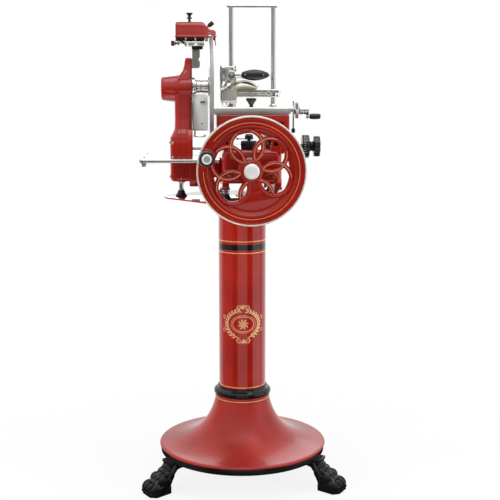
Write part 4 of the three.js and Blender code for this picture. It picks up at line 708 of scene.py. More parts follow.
crest = []
wreathX, wreathZ = crestSizes["wreath"]
around = np.linspace(0, full, 97)
for grow, width in ((1.0, 1.35), (1.17, 0.85)):
    halfX, halfZ = (half * grow for half in crestSizes["oval"])
    crest.append(ribbon(np.stack([halfX * np.cos(around), halfZ * np.sin(around)], -1), width, ontoColumn))
for k in range(8):
    heading = full * k / 8 + 0.2
    crest.append(leaf((3.2 * math.cos(heading), 3.2 * math.sin(heading)), heading, 14, 3.4))
crest.append(ribbon(spiral((0, 0), 3.0, 0, 2.2, 60), 0.8, ontoColumn))
for side in (1, -1):
    stem = np.radians(np.linspace(-72, 74, 60))
    stemLine = np.stack([side * wreathX * np.cos(stem), wreathZ * np.sin(stem)], -1)
    crest.append(ribbon(stemLine, np.linspace(2.0, 0.9, 60), ontoColumn))
    for k in range(crestSizes["leaves"]):
        at = np.radians(-64 + 136 * k / (crestSizes["leaves"] - 1))
        root = (side * wreathX * math.cos(at), wreathZ * math.sin(at))
        along = math.atan2(wreathZ * math.cos(at), -side * wreathX * math.sin(at))
        for splay in (0.62, -0.62):
            crest.append(leaf(root, along + splay * side, 14.5 - 0.25 * k, 3.3))
    for x, z, radius, turns, first, last in ((12, 53, 8.5, 1.35, 2.1, 0.8), (13, -53, 9.0, 1.35, 2.1, 0.8),
                                             (65, 21, 6.5, 1.2, 1.6, 0.7), (65, -21, 6.5, 1.2, 1.6, 0.7)):
        way = math.copysign(1, z)
        curl = spiral((side * x, z), radius, -way * math.pi / 2, way * turns * side)
        crest.append(ribbon(curl, np.linspace(first, last, 44), ontoColumn))
for heading in (1.05, 1.57, 2.09):
    crest += [leaf((0, 48), heading, 16, 3.0), leaf((0, -48), -heading, 16, 3.0)]
piece("crest", crest, "base", goldPaint, sharp=60)
innerWalls = carve([block((-63, -78, 980), (48, -62, 1062), 2), block((34, -14, 980), (48, 60, 1062), 2)],
                   [rod("y", -90, -50, 15.6, wheelAxis), rod("x", 20, 60, 9.3, crossAxis)])
piece("base_walls", innerWalls, "base", red)
piece("pivot_pin", [rod("x", 68, 107, 5.5, (0, 0, 951)), block((103, -15, 938), (111, 15, 974), 3, 6, "x")], "base",
      brushed)
for name, x in zip(("left", "right"), railX):
    bar = rod("y", -180, 180, 8, (x, 0, rails["height"]), 1.2, 64)
    piece("rail_" + name, bar, "base", brushed, "guide_rail_" + name)

feetSpots = {"column": (-190, 0, 963), "front_left": (-54, -122, 946), "front_right": (98, -122, 946),
             "rear_left": (-54, 122, 946), "rear_right": (98, 122, 946)}
for name, (x, y, top) in feetSpots.items():
    piece("foot_cone_" + name, turned([(0, 911.4, 0), (18.2, 911.4, 1.2), (18.5, 914.5, 2), (13, 920, 4),
                                       (10.5, 928, 3), (9, 930.5, 1), (0, 930.5, 0)], "z", (x, y, 0), 64, 5), "base",
          rubber, "levelling_foot_" + name)
    nut = slab(circle(12, 6, (x, y)), "z", top - 9, top - 3, 0.8)
    piece("foot_stem_" + name, [turned([(0, 930, 0), (8.4, 930, 0.5), (8.4, 934, 0.8), (7, 936, 0.8),
                                        (7, top - 5, 0.5), (11, top - 5, 0.6), (11, top - 0.4, 0.6),
                                        (0, top - 0.4, 0)], "z", (x, y, 0), 48), nut], "base", chrome)


# A turned knob whose radius swells and sinks round the axis beyond a radius: r (1 + depth weight cos(count a)).
def lobedKnob(rows, lobedFrom, axis, centre, count, depth, segments=192):
    profile = fillet(rows, 4, False)
    weight = np.clip((profile[:, 0] - lobedFrom) / (profile[:, 0].max() - lobedFrom), 0, 1)
    a = full * np.arange(segments) / segments
    r = profile[:, :1] * (1 + depth * weight[:, None] * np.cos(count * a)[None, :])
    return grid(toSpace(r * np.cos(a), r * np.sin(a), profile[:, 1:] + 0 * a, axis, centre))


lockShape = lobedKnob([(0, 1066.4, 0), (24, 1066.4, 1), (24.3, 1069, 1), (24.3, 1085, 3), (22, 1090.2, 2),
                       (5, 1090.2, 1), (5, 1094.2, 0.5), (12, 1094.2, 1), (12.4, 1096, 1), (12.4, 1106, 3),
                       (8, 1110.3, 3), (0, 1110.3, 0)], 18, "z", (14, -150, 0), 40, 0.012)
piece("lock_body", lockShape, "carriage_lock", knobBlack, "carriage_lock_knob", 50)
piece("lock_arm", [rod("x", -19, 14, 2.4, (0, -150, 1097.2), 0.5, 24),
                   ball((-20.6, -150, 1097.2), (4.3, 4.3, 4.3), 16, 24)],
      "carriage_lock", chrome)
print("machine base ready")

# Blade column and chain case: one lofted casting, parted in the chain's plane
bladeCentre = (0, 0, 1250)
columnStations = {  # height: centre x, half width, half depth, squareness
    963: (-179, 39, 66, 6), 966.5: (-179, 42.4, 69.6, 6), 972: (-179, 44, 71.5, 6), 1030: (-179, 44, 71.5, 6),
    1034: (-188, 35, 71.5, 6), 1080: (-188, 35, 71.5, 6), 1096: (-187.8, 34.4, 69, 6), 1108: (-185, 30.5, 66, 5),
    1122: (-181.5, 27.6, 59, 5), 1150: (-180.5, 27.5, 52, 5), 1190: (-180.5, 27.5, 45, 5),
                  1216: (-180.5, 27.5, 41, 5),
    1250: (-180.5, 27.5, 39.5, 5), 1272: (-178, 25, 36, 5), 1288: (-171, 18, 30, 5), 1300: (-167, 14, 25, 5),
    1318: (-165, 12, 21, 5), 1330: (-164.2, 11.2, 20, 5), 1334.5: (-164, 10, 18.6, 5), 1336: (-164, 8, 16, 5),
}


# x = centre + a sign(cos q) |cos q|^(2/n), y = b sign(sin q) |sin q|^(2/n), with a, b, n interpolated over the height
def columnLoft(rows=120, cols=160):
    heights = np.array(sorted(columnStations))
    table = np.array([columnStations[h] for h in heights])
    z = np.sort(np.concatenate([np.linspace(heights[0], heights[-1], rows), heights]))
    centre, half, depth, power = (np.interp(z, heights, table[:, k])[:, None] for k in range(4))
    q = full * np.arange(cols)[None, :] / cols
    x = centre + half * np.sign(np.cos(q)) * np.abs(np.cos(q)) ** (2 / power)
    y = depth * np.sign(np.sin(q)) * np.abs(np.sin(q)) ** (2 / power)
    return np.stack([x, y, z[:, None] + 0 * q], -1)


loft = columnLoft()
hoodShape = turned([(0, -248.8, 0), (32, -248.8, 6), (36, -244, 6), (38.5, -226, 10), (41, -205, 6), (44, -190, 8),
                    (44, -153.2, 3), (0, -153.2, 0)], "x", (0, 0, 1243.5), 128, 6)
hoodShape = hoodShape[0].reshape(-1, 128, 3)
halves = (("case", "chain_case", lambda x: np.minimum(x, -190.4)),
          ("post", "blade_column", lambda x: np.maximum(x, -189.7)))
for name, node, parted in halves:
    shapes = []
    for source in (loft, hoodShape):
        half = source.copy()
        half[..., 0] = parted(half[..., 0])
        shapes.append(grid(half, caps=True))
    if name == "post":
        shapes.append(slab(fillet([(-70, 947, 8), (70, 947, 8), (74.9, 962, 8), (74.9, 1036, 12), (-74.9, 1036, 12),
                                   (-74.9, 962, 8)], 6), "x", -164, -135.2, 4))
        shapes.append(block((-138, -40, 972), (-67.3, 40, 1034), 3, 5, "x"))
        flange = fillet([(-74.9, 1030, 4), (74.9, 1030, 4), (74.9, 1098, 14), (56, 1126, 16), (-56, 1126, 16),
                         (-74.9, 1098, 14)], 6)
        shapes.append(slab(flange, "x", -169, -153.2, 3))
    else:
        shapes.append(block((-245, -55, 1027.4), (-220, 55, 1033.2), 2, 4))
    piece("column_" + name, shapes, "base", red, node, 50)


# A slotted screw: a shallow dome with a groove; turned so that its axis points out along a vector
def slottedScrew(spot, out, radius=4.0, high=2.2, twist=0.6):
    dome = turned([(0, high, 0), (radius * 0.55, high * 0.92, 1), (radius, high * 0.35, 0.4), (radius, -1, 0),
                   (0, -1, 0)], "z", count=32)
    groove = block((-radius * 2, -radius * 0.13, high * 0.35), (radius * 2, radius * 0.13, high * 3), 0.02)
    mesh = carve([dome], [groove])
    facing = Vector(out).to_track_quat("Z", "Y").to_matrix().to_4x4()
    mesh.transform(Matrix.Translation(Vector(spot) * mm) @ facing @ Matrix.Rotation(twist, 4, "Z"))
    return mesh


screwSpots = [((-223, y, z), (-1, 0, 0)) for y, z in ((-60, 978), (60, 978), (60, 1082), (-60, 1082))]
screwSpots += [((-214, -71.6, z), (0, -1, 0)) for z in (1036, 1080)]
screwSpots += [((-300, y, 1036), (0, 0, 1)) for y in (-66, 142)]
for k, (spot, out) in enumerate(screwSpots):
    piece("screw_%d" % k, slottedScrew(spot, out, twist=0.5 + k), "base", brushed if k < 6 else blackEnamel)
piece("nose", turned([(9.5, -152.6, 0), (30, -152.6, 1), (30, -145, 1.5), (24, -145, 0.5), (24, -141, 1),
                      (21.3, -139, 0.8), (21.3, -128, 0.8), (20, -127, 0.4), (20, -125, 0.4), (21.3, -124, 0.8),
                      (21.3, -105, 1), (9.5, -105, 0)], "x", bladeCentre), "base", castMetal, "spindle_nose", 40)
piece("nose_studs", [rod("x", -153.5, -122, 6.5, (0, -38, 1064)), rod("x", -124, -119, 8.5, (0, -38, 1064), 1)],
      "base", chrome)
print("blade column ready")

# Receiving tray and slice deflector
traySizes = {"left": -312, "right": -72, "front": -165, "back": 190, "strip": -82, "notch": -226, "top": 1036,
             "high": 10, "skin": 2.5}
t = traySizes
trayOutline = fillet([(t["left"], t["front"], 16), (t["right"], t["front"], 5), (t["right"], t["strip"], 4),
                      (t["notch"], t["strip"], 8), (t["notch"], t["back"], 5), (t["left"], t["back"], 16)], 8)
trayShell = carve([slab(trayOutline, "z", t["top"] - t["high"], t["top"], 1.8, 4)],
                  [slab(inset(trayOutline, t["skin"]), "z", t["top"] - t["high"] - 5, t["top"] - t["skin"], 0.5),
                   block((-232, -55.4, 1020), (-215, 55.4, 1033.4), 0.3),
                   block((-75, -190, 1020), (-66, -79, 1033.4), 0.3)])
trayLook = metal("trayPlate", (0.83, 0.82, 0.78), 0.13, "chrome", 0.08, (1, 10, 1), 90.0, 0.25)
piece("tray", trayShell, "base", trayLook, "receiving_tray", 40)
piece("tray_peg", turned([(0, 1014.3, 0), (5.6, 1014.3, 1.5), (6, 1016, 0.5), (6, 1021, 0.5), (8, 1021.5, 0.5),
                          (8, 1026, 0.5), (0, 1026, 0)], "z", (-298, -151, 0), 40), "base", chrome)
guardOutline = fillet([(-152.7, 1116, 3), (-106, 1116, 8), (-106, 1226, 10), (-152.7, 1226, 3)], 6)
guardShapes = [slab(guardOutline, "y", -25, -22, 0.8),
               slab(rectangle(-25, 1116, 5, 1204.7, 4), "x", -152.7, -149.7, 0.8),
               slab(rectangle(-152.7, -25, -106, -13, 3), "z", 1116, 1119, 0.8)]
guardLook = metal("guardPlate", (0.86, 0.875, 0.86), 0.3, "chrome", 0.12, (1, 1, 8), 70.0, 0.12, 0.12)
piece("guard", guardShapes, "base", guardLook, "slice_deflector", 40)
piece("guard_screw", slottedScrew((-124, -25, 1138), (0, -1, 0), 3.6, 1.6, 0.9), "base", brushed)
piece("guard_stud", turned([(0, -34, 0), (6, -34, 2), (7.5, -32, 1), (7.5, -28, 1), (4, -27, 0.5), (4, -24.5, 0),
                            (0, -24.5, 0)], "y", (-122, 0, 1203), 40), "base", chrome)
piece("guard_lever", [carried(bezier((-150, -22, 1100), (-140, -26, 1098), (-130, -28, 1096), (-118, -26, 1100), 20),
                              circle(2.6, 16), (0, 1, 0)),
                      ball((-116.5, -26, 1100.5), (4.2, 4.2, 4.2), 14, 20),
                      rod("z", 1100, 1117, 2.4, (-146, -20, 0))], "base", chrome)
print("tray and deflector ready")

# Blade on its shaft
bladeLook = metal("bladeSteel", (0.74, 0.75, 0.75), 0.1, "blade_steel", 0.04, scale=60.0, grime=0.12)
_, vy, vz = bladeLook.place()
fromAxis = radiusFrom(bladeCentre[1:], vy, vz)
rings = bladeLook.node("ShaderNodeTexNoise", {"noise_dimensions": "1D"},
                       {"W": fromAxis * 1.6, "Scale": 1.0, "Detail": 3.0})
bladeLook.give("Roughness", rings * 0.16 + fromAxis.ramp(128, 140) * 0.3 + 0.12)
bladeLook.bump(rings, 0.12, 0.03)
piece("blade_disc", turned([(9.3, -101, 0), (141, -101, 5), (149, -98, 5), (159.5, -89.25, 0), (159.5, -89, 0),
                            (148, -89.2, 2), (95, -96.5, 14), (9.3, -96.5, 0)], "x", bladeCentre, 224, 6),
      "blade_body", bladeLook, "blade", 12)
spindleShapes = [rod("x", -243.5, -96.6, 9, bladeCentre, 0.8, 64), ring("x", -104.4, -101.3, 30, 9, bladeCentre, 0.6)]
piece("spindle", spindleShapes, "blade_body", brushed, "blade_shaft", 40)
retainerShapes = [turned([(0, -93.4, 0), (28.5, -93.7, 1), (30, -94.6, 0.5), (30, -96.1, 0.3), (0, -96.1, 0)], "x",
                         bladeCentre)]
piece("retainer", retainerShapes, "blade_body", chrome, "blade_retainer", 40)
for k in range(4):
    angle = full * k / 4
    spot = (-93.8, 21 * math.cos(angle), bladeCentre[2] + 21 * math.sin(angle))
    piece("retainer_screw_%d" % k, slottedScrew(spot, (1, 0, 0), 4.3, 2.4, 0.7 * k), "blade_body", brushed)
print("blade ready")

# Carriage on its rails
carriageShell = carve(
    [slab(rectangle(-80, -112, 138.5, 148, 9, 6), "z", 1112, 1165, 4, 5)],
    [slab(rectangle(-74, -106, 132.5, 142, 5), "z", 1100, 1159, 2),
     slab(rectangle(95, 1136, 120, 1144, 3.9, 6), "y", -120, -104, 0.3)])
piece("carriage_shell", carriageShell, "carriage_body", red, "carriage", 40)
piece("carriage_rib", block((66, -108, 1106.5), (78, 144, 1162), 1), "carriage_body", red)
for k, (x, y) in enumerate((x, y) for x in railX for y in (-45, 45)):
    shoe = carve([block((x - 14, y - 15, 1072), (x + 14, y + 15, 1162), 2.5)],
                 [rod("y", y - 30, y + 30, 8.3, (x, 0, rails["height"]))])
    piece("carriage_shoe_%d" % k, shoe, "carriage_body", blackEnamel)
edgePath = rectangle(-80.4, -112.4, 138.9, 148.4, 9, 6)
edgePath = toSpace(edgePath[:, 0], edgePath[:, 1], 1115 + 0 * edgePath[:, 0], "z")
piece("carriage_bead", carried(edgePath, circle(1.8, 10), (0, 0, 1), True), "carriage_body", red)

# Slide bed, meat table and feed screw
bedShapes = [slab(rectangle(-86.5, -101.7, 138.5, 137.7, 3), "z", 1165.3, 1171.3, 1.2),
             block((60, -12, 1170), (80, 12, 1180.7), 1.2)]
for y in (-89.7, 105.7):
    bedShapes.append(block((-80, y, 1170), (138.5, y + 20, 1180.7), 0.8, 1))
bedShapes.append(block((-79, -101.9, 1167.2), (137.5, -100.6, 1169.4), 0.4, 0.2))
bedLook = metal("slideSteel", (0.8, 0.78, 0.69), 0.28, "chrome", 0.14, (10, 1, 1), 120.0, 0.35)
piece("bed", bedShapes, "carriage_body", bedLook, "slide_bed", 40)
tableShapes = [slab(rectangle(-87.5, -106, 150, 142, 4), "z", 1181, 1186, 1.4, 4),
               block((-87.5, -106, 1171), (142, -102, 1184), 1.2, 0.8),
               block((-87.5, 138, 1171), (142, 142, 1184), 1.2, 0.8),
               slab(fillet([(-22, 1165.2, 8), (22, 1165.2, 8), (22, 1184, 1), (-22, 1184, 1)], 5), "x", 142, 150,
                    1.5),
               block((-88.9, -103, 1181.2), (-86.5, 139, 1187.5), 1, 0.8)]
for k in range(11):
    y = -88 + 16.5 * k
    tableShapes.append(slab(rectangle(-82, y, 60, y + 2.2, 1), "z", 1185.4, 1187.1, 0.7))
tableLook = metal("tablePlate", (0.86, 0.85, 0.79), 0.26, "chrome", 0.12, (12, 1, 1), 110.0, 0.3)
piece("table", tableShapes, "table_body", tableLook, "meat_table", 40)
screwCentre = (0, 0, 1176.15)
along = np.linspace(-60, 160, 1761)
angleStep = full * np.arange(20) / 20
thread = 4.0 + 0.5 * np.cos(full * along[:, None] / 2.5 - angleStep[None, :])
along = along[:, None] + 0 * angleStep
screwPoints = toSpace(thread * np.cos(angleStep), thread * np.sin(angleStep), along, "x", screwCentre)
piece("feed_thread", [grid(screwPoints, caps=True), rod("x", 160, 207, 4.5, screwCentre, 0.6, 32)], "screw_body",
      brushed, "feed_screw", 60)
toothAngle = full * (np.arange(36)[:, None] + np.array([0, 0.02])) / 36
toothRadius = np.array([24.0, 21.6])
ratchetOutline = np.stack([toothRadius * np.cos(toothAngle), screwCentre[2] + toothRadius * np.sin(toothAngle)], -1)
piece("ratchet", [slab(ratchetOutline.reshape(-1, 2), "x", 166, 174, 0.5),
                  ring("x", 162.3, 176.7, 11, 4.8, screwCentre, 0.8, 48)], "screw_body", brushed, "ratchet_wheel", 25)
pawlOutline = fillet([(-4, 1121, 1), (4, 1121, 1), (4.5, 1160, 6), (12, 1176, 10), (5, 1192, 6), (4, 1208, 3),
                      (-4, 1208, 3), (-5, 1192, 6), (-12, 1176, 10), (-4.5, 1160, 6)], 6)
piece("pawl", slab(pawlOutline, "x", 157, 162, 1), "pawl_body", chrome, "feed_pawl", 40)
piece("pawl_tip", block((154, -7, 1107.2), (165, 7, 1121.5), 2.5, 4, "x"), "pawl_body", knobBlack)
gripCentre = (0, 0, 1158.15)
armOutline = fillet([(-9, 1176, 4), (-8, 1156, 6), (0, 1149.6, 6), (8, 1156, 6), (9, 1176, 4), (0, 1187, 8)], 6)
crankShapes = [turned([(4.8, 177, 0), (11, 177, 1), (13, 179, 1), (13, 189, 1), (12, 190, 0.5), (12, 192, 0.5),
                       (13, 193, 1), (13, 206, 1), (11, 207.7, 1), (4.8, 207.7, 0)], "x", screwCentre, 64),
               slab(armOutline, "x", 199.7, 207.7, 1.5),
               turned([(0, 207.7, 0), (4.5, 207.7, 0), (4.5, 208, 0), (0, 208, 0)], "x", gripCentre, 24, 1),
               turned([(0, 206, 0), (5, 206, 0.5), (5, 209.6, 0.5), (3.5, 209.6, 0), (3.5, 243, 0.5), (0, 243, 0)],
                      "x", gripCentre, 32)]
piece("small_crank", crankShapes, "screw_body", chrome, "feed_crank", 40)
piece("small_grip", turned([(3.9, 210, 0), (7, 210, 1), (8.6, 213, 3), (9.5, 226, 10), (8.8, 238, 4), (7.6, 244, 2),
                            (3.9, 244, 0)], "x", gripCentre, 64, 5), "screw_grip", knobBlack, "feed_grip", 50)
piece("table_knob", turned([(0, 1186.4, 0), (6, 1186.4, 1), (6, 1190, 1.5), (5.4, 1192, 3), (9, 1199, 6),
                            (16.2, 1208.5, 4), (16.4, 1213.5, 1.5), (13, 1215, 1.5), (0, 1215, 0)], "z", (27, -30, 0),
                           72, 6), "table_lock", knobBlack, "table_lock_knob", 50)
dialCentre = (0, -60, 1069)
dialShape = lobedKnob([(0, 125.4, 0), (7, 125.4, 0.5), (7, 181, 1), (34, 181, 1), (36, 183, 1.5), (36, 200.5, 1.5),
                       (34, 202, 1.5), (18, 203, 3), (14.5, 208, 4), (14.5, 212, 4), (18, 216, 3), (29, 217.2, 1.5),
                       (30.2, 220, 2), (30.2, 232, 2), (28, 235, 2), (12, 233.6, 6), (0, 233.2, 0)], 60, "x",
                      dialCentre, 7, 0.0)
piece("dial_knob", dialShape, "thickness", knobBlack, "thickness_knob", 50)
lobes = lobedKnob([(13, 216.6, 0), (29, 216.6, 2), (30.6, 219, 2), (30.6, 233, 2), (29, 235.3, 2), (13, 235.3, 0)],
                  14, "x", dialCentre, 8, -0.08)
piece("dial_lobes", lobes, "thickness", knobBlack, sharp=50)
marks = []
for k in range(30):
    tick = block((184.5, -0.35, 35.6), (184.5 + (10 if k % 5 == 0 else 5.5), 0.35, 36.12), 0.1, 0.1)
    points, faces = spunAbout(tick, full * k / 30, "X")
    marks.append((points + np.array(dialCentre), faces))
piece("dial_marks", marks, "thickness", scalePaint)
print("carriage, table and feed ready")

# Meat clamp: rods, crosshead, press foot, lever and handle
leftRod, rightRod = (-29.8, 100, 0), (103.7, 100, 0)
leverPin, leverAxis = (-29.8, 0, 1286), (0, 70, 1286)
rodLook = metal("guideRodSteel", (0.62, 0.62, 0.6), 0.14, "chrome", 0.08, (1, 1, 14), 140.0, 0.25)
rodShapes = []
for spot in (leftRod, rightRod):
    rodShapes.append(turned([(0, 1186.3, 0), (13, 1186.3, 0.8), (13, 1191, 1.5), (10.5, 1194.5, 0.6),
                             (7.8, 1195, 0.4), (7.8, 1494.9, 0.3), (0, 1494.9, 0)], "z", spot, 72, 4))
    rodShapes.append(turned([(0, 1503, 0), (5, 1502.8, 1), (5.6, 1501, 0.3), (0, 1501, 0)], "z", spot, 32))
barOutline = rectangle(-43.8, 91, 117.7, 109, 8.5, 8)
rodShapes.append(slab(barOutline, "z", 1495, 1501.5, 1.4, 4))
piece("clamp_rods", rodShapes, "table_body", rodLook, "guide_rods", 40)

headShapes = [turned([(8.2, 1216.2, 0), (14, 1216.2, 1), (15, 1218, 1), (15, 1240, 3), (12.6, 1244, 3),
                      (11.4, 1290, 3), (15, 1299, 3), (15, 1311, 1.5), (13.4, 1312.8, 1), (8.2, 1312.8, 0)], "z",
                     leftRod, 72, 5)]
webOutline = fillet([(-65.5, 1240, 3), (-66.5, 1296, 8), (-65, 1317, 3), (-59.5, 1309, 6), (-50, 1311, 8),
                     (-40, 1314, 6), (-20, 1314, 5), (-14.5, 1317.5, 3), (-13.5, 1300, 8), (-14, 1262, 12),
                     (-20, 1240, 4)], 8)
webPlate = carve([slab(webOutline, "y", 93, 107, 1.6, 4)],
                 [slab(fillet([(-60, 1246, 3), (-50, 1246, 3), (-50, 1266, 4), (-56, 1268, 4)], 6), "y", 80, 120,
                       0.3),
                  slab(rectangle(-58, 1276, -49, 1302, 4, 6), "y", 84, 97, 0.3),
                  rod("z", 1200, 1330, 8.2, leftRod)])
headShapes.append(turned([(8.2, 1216.2, 0), (14.6, 1216.2, 1.2), (16, 1218, 1.2), (16, 1239, 1.2),
                          (14.6, 1240.8, 1.2), (8.2, 1240.8, 0)], "z", rightRod, 72, 4))
ribLine = bezier((-36, 88, 1309), (-34, 84, 1285), (-42, 84, 1262), (-62, 86, 1240), 32)
ribLineTwo = bezier((-37, 86, 1276), (-32, 83, 1262), (-26, 82, 1250), (-16, 84, 1240), 24)
headShapes += [carried(ribLine, rectangle(-4, -5, 4, 6, 3.4), (0, 1, 0)),
               carried(ribLineTwo, rectangle(-3, -4, 3, 5, 2.6), (0, 1, 0))]
headShapes += [rod("y", 62.5, 94, 5, leverPin, 1, 40), ring("y", 80, 92, 11, 5, leverPin, 1.2, 56)]
piece("crosshead", headShapes, "clamp_body", castMetal, "clamp_crosshead", 40)
piece("crosshead_web", webPlate, "clamp_body", castMetal)
rodHole = [rod("z", 1200, 1320, 8.2, rightRod)]
arms = {
    "upper": (1229, 1240.8, [(-22, 91, 4), (84, 91, 6), (94, 84.5, 5), (112, 84.5, 7), (128, 90, 8)]),
    "lower": (1216.3, 1226.8, [(-22, 92, 4), (84, 92, 6), (94, 86, 5), (112, 86, 7), (126, 91, 8)]),
}
for name, (low, high, rows) in arms.items():
    arm = carve([slab(fillet(mirrored(rows, 100), 6), "z", low, high, 2.2, 4)], rodHole)
    piece("crosshead_arm_" + name, arm, "clamp_body", castMetal)
piece("crosshead_rib", block((-18, 96.5, 1225), (90, 103.5, 1231), 0.8), "clamp_body", castMetal)
hatchLook = metal("hatchedCasting", (0.42, 0.4, 0.37), 0.3, "cast_metal", 0.2, scale=90.0, grime=0.5)
hx, hy, hz = hatchLook.place()
hatch = ((hx + hz) * 1.15).maths("SINE") * ((hx - hz + hy * 0.6) * 1.15).maths("SINE")
hatchLook.bump(hatch, 0.8, 1.2)
# The hatch's grooves are painted darker than its ridges: painted shade in the grooves.
hatchLook.give("Base Color", hatchLook.blend(hatch.ramp(-0.4, 0.6), (0.24, 0.22, 0.21), (0.62, 0.6, 0.57)))
baseBlock = carve([slab(fillet([(-65, 18, 8), (-52, 14, 10), (-20, 14, 6), (-15.5, 20, 6), (-15.5, 106, 6),
                                (-65, 106, 6)], 6), "z", 1206.4, 1241, 2.5, 4)],
                  [rod("z", 1200, 1320, 8.2, leftRod), rod("y", 0, 60, 6, (-40, 0, 1203), 0.4)])
piece("crosshead_block", baseBlock, "clamp_body", hatchLook)
blockTrim = [carried(bezier((-65, 14, 1240), (-52, 11, 1244), (-44, 12, 1250), (-36, 20, 1258), 24), circle(2.6, 14),
                     (0, 1, 0)),
             ball((-38.5, 84, 1254), (9, 9, 9), 18, 28)]
piece("crosshead_boss", blockTrim, "clamp_body", castMetal)

oliveLook = metal("handRestShell", (0.4, 0.39, 0.31), 0.22, "cast_metal", 0.08, scale=60.0, grime=0.3)
restSizes = {"x": (-51, -47, -41, -33, -20, -5, 10, 22, 34, 43, 49.5, 53),
             "top": (1219, 1229, 1241, 1253, 1263, 1268, 1268.6, 1267, 1263.5, 1259, 1254, 1249.5),
             "low": (1215, 1213, 1213.5, 1216.5, 1228, 1236, 1238, 1238, 1237.5, 1239, 1243, 1247), "front": 58.5,
             "deep": 26}
# A leaf between a top line and a low line over x, both smooth; each section is a half oval that leans back.
u = np.linspace(0, 1, 64)[:, None]
v = np.linspace(0, 1, 30)[None, :]
restX = restSizes["x"][0] + (restSizes["x"][-1] - restSizes["x"][0]) * (0.5 - 0.5 * np.cos(math.pi * u)) + 0 * v
smoothing = np.exp(-np.linspace(-2, 2, 9) ** 2)
smoothing /= smoothing.sum()
restLines = [np.interp(restX[:, 0], restSizes["x"], restSizes[key]) for key in ("low", "top")]
restLow, restTop = (np.convolve(np.pad(line, 4, "edge"), smoothing, "valid")[:, None] for line in restLines)
restZ = restLow + (restTop - restLow) * np.sin(math.pi * v / 2) ** 0.8 + 0 * v
restY = restSizes["front"] + restSizes["deep"] * (1 - np.cos(math.pi * v / 2)) + 5 * (1 - np.sin(math.pi * u)) + 0 * u
front = np.stack([restX, restY, restZ], -1)
back = front.copy()
back[..., 1] = np.maximum(restY + 2.4, 86.5)
back[..., 2] = np.minimum(restZ, restTop - 0.4)
restGrid = np.concatenate([front, back[:, ::-1]], axis=1)
piece("hand_rest", grid(restGrid, caps=True), "clamp_body", oliveLook, sharp=60)
crestLine = np.stack([restX[:, -1], restY[:, -1] - 1.5, restTop[:, 0]], -1)
rimEnd = bezier((50, 88, 1245), (52, 86, 1249), (55, 84, 1255), (59, 82, 1251), 12)
piece("hand_rest_rim", [carried(crestLine[2:-1], circle(1.7, 12), (0, 1, 0)),
                        carried(rimEnd, circle(1, 10), (0, 1, 0), scale=np.linspace(2.4, 0.8, 12)),
                        block((-38, 84, 1217), (-16, 96, 1226), 2)], "clamp_body", castMetal)
pressShapes = [block((-66, 0.5, 1200.2), (-14, 67.5, 1206), 1.6, 5)]
shares = (-1, -0.33, 0.33, 1)
pressShapes += [turned([(0, 1191, 0), (2.6, 1200.6, 0.2), (0, 1200.6, 0)], "z", (-40 + u * 20, 34 + v * 26, 0), 20)
                for u in shares for v in shares]
piece("press_plate", pressShapes, "clamp_body", polished, "press_foot", 40)

leverShapes = [turned([(5.3, 62.4, 0), (12, 62.4, 1), (13.4, 64, 1.2), (13.4, 76, 1.2), (12, 77.6, 1),
                       (5.3, 77.6, 0)], "y", leverPin, 72, 4)]
leverShapes += [turned([(0, -20, 0), (8.4, -20, 1), (9.4, -18.5, 1), (9.2, -10, 4), (7.6, -4, 2), (7.6, 1.2, 0.5),
                        (0, 1.2, 0)], "x", leverAxis, 56, 4), rod("x", -4, 95, 5, leverAxis, 0.8, 40),
                ring("x", -19.5, -15.5, 10.6, 7, leverAxis, 1, 48),
                turned([(0, 95.2, 0), (5, 95.2, 1.5), (7, 92, 1), (7, 87.5, 0.5), (0, 87.5, 0)], "x", leverAxis, 40)]
catch = bezier((-24, 66, 1276), (-10, 64, 1279), (4, 64, 1276.5), (10, 64, 1274), 22)
leverShapes.append(carried(catch, circle(1.7, 12), (0, 1, 0)))
piece("lever_arm", leverShapes, "lever_body", chrome, "clamp_lever", 40)
handleT = np.linspace(0, 1, 60)
handleR = 5.6 + 12.2 * np.sin(math.pi * handleT) ** 0.8
handleX = np.concatenate([[-2], -2 + 89 * handleT, [87]])
handleProfile = np.stack([np.concatenate([[5.3], handleR, [5.3]]), handleX], -1)
piece("lever_handle", lathe(handleProfile, "x", leverAxis, 96, True), "lever_body", knobBlack, "clamp_handle", 60)
rivets = [turned([(0, -1.4, 0), (1.6, -1, 0.4), (1.9, 0.6, 0.2), (0, 0.6, 0)], "y", (x, 70 - r, 1286), 20)
          for x, r in ((12.5, 14.4), (69.5, 15.2))]
piece("lever_rivets", rivets, "lever_body", castMetal)
print("meat clamp ready")

# Sharpener: mast, frame, red cover, knobs and stones
plungerAxis, stoneAxis, thumbAxis = (-160, 0, 0), (0, -17, 1400), (0, 0, 1380)
mastOutline = fillet([(-152.6, 1305, 1), (-134, 1305, 3), (-129.4, 1310, 4), (-129.4, 1326, 3), (-133.5, 1330, 3),
                      (-133.5, 1334, 3), (-129.4, 1338, 3), (-129.4, 1360, 3), (-133, 1372, 3), (-152.6, 1372, 1)], 5)
mastLook = metal("mastPlate", (0.47, 0.46, 0.38), 0.24, "chrome", 0.15, (1, 1, 8), 90.0, 0.25)
piece("mast", slab(mastOutline, "y", -14, 14, 2.2, 4), "base", mastLook, sharp=40)
deckPlate = carve([slab(rectangle(-201, -32, -115, 32, 5), "z", 1386, 1395.7, 1.6, 4)],
                  [slab(rectangle(-196, -25, -182, 25, 3), "z", 1360, 1400, 0.5),
                   rod("z", 1350, 1410, 4.3, plungerAxis)])
piece("frame_deck", deckPlate, "base", blackEnamel, sharp=40)
frameShapes = carve([slab(rectangle(-176, -35.6, -116, 35.6, 6), "z", 1370.4, 1384.5, 2.6, 4)],
                    [block((-168, -42, 1372), (-163, 42, 1379), 1), block((-146, -42, 1373), (-137, 42, 1378), 1.2),
                     rod("z", 1350, 1410, 4.3, plungerAxis)])
piece("frame_casting", frameShapes, "base", castMetal, "sharpener_frame", 40)
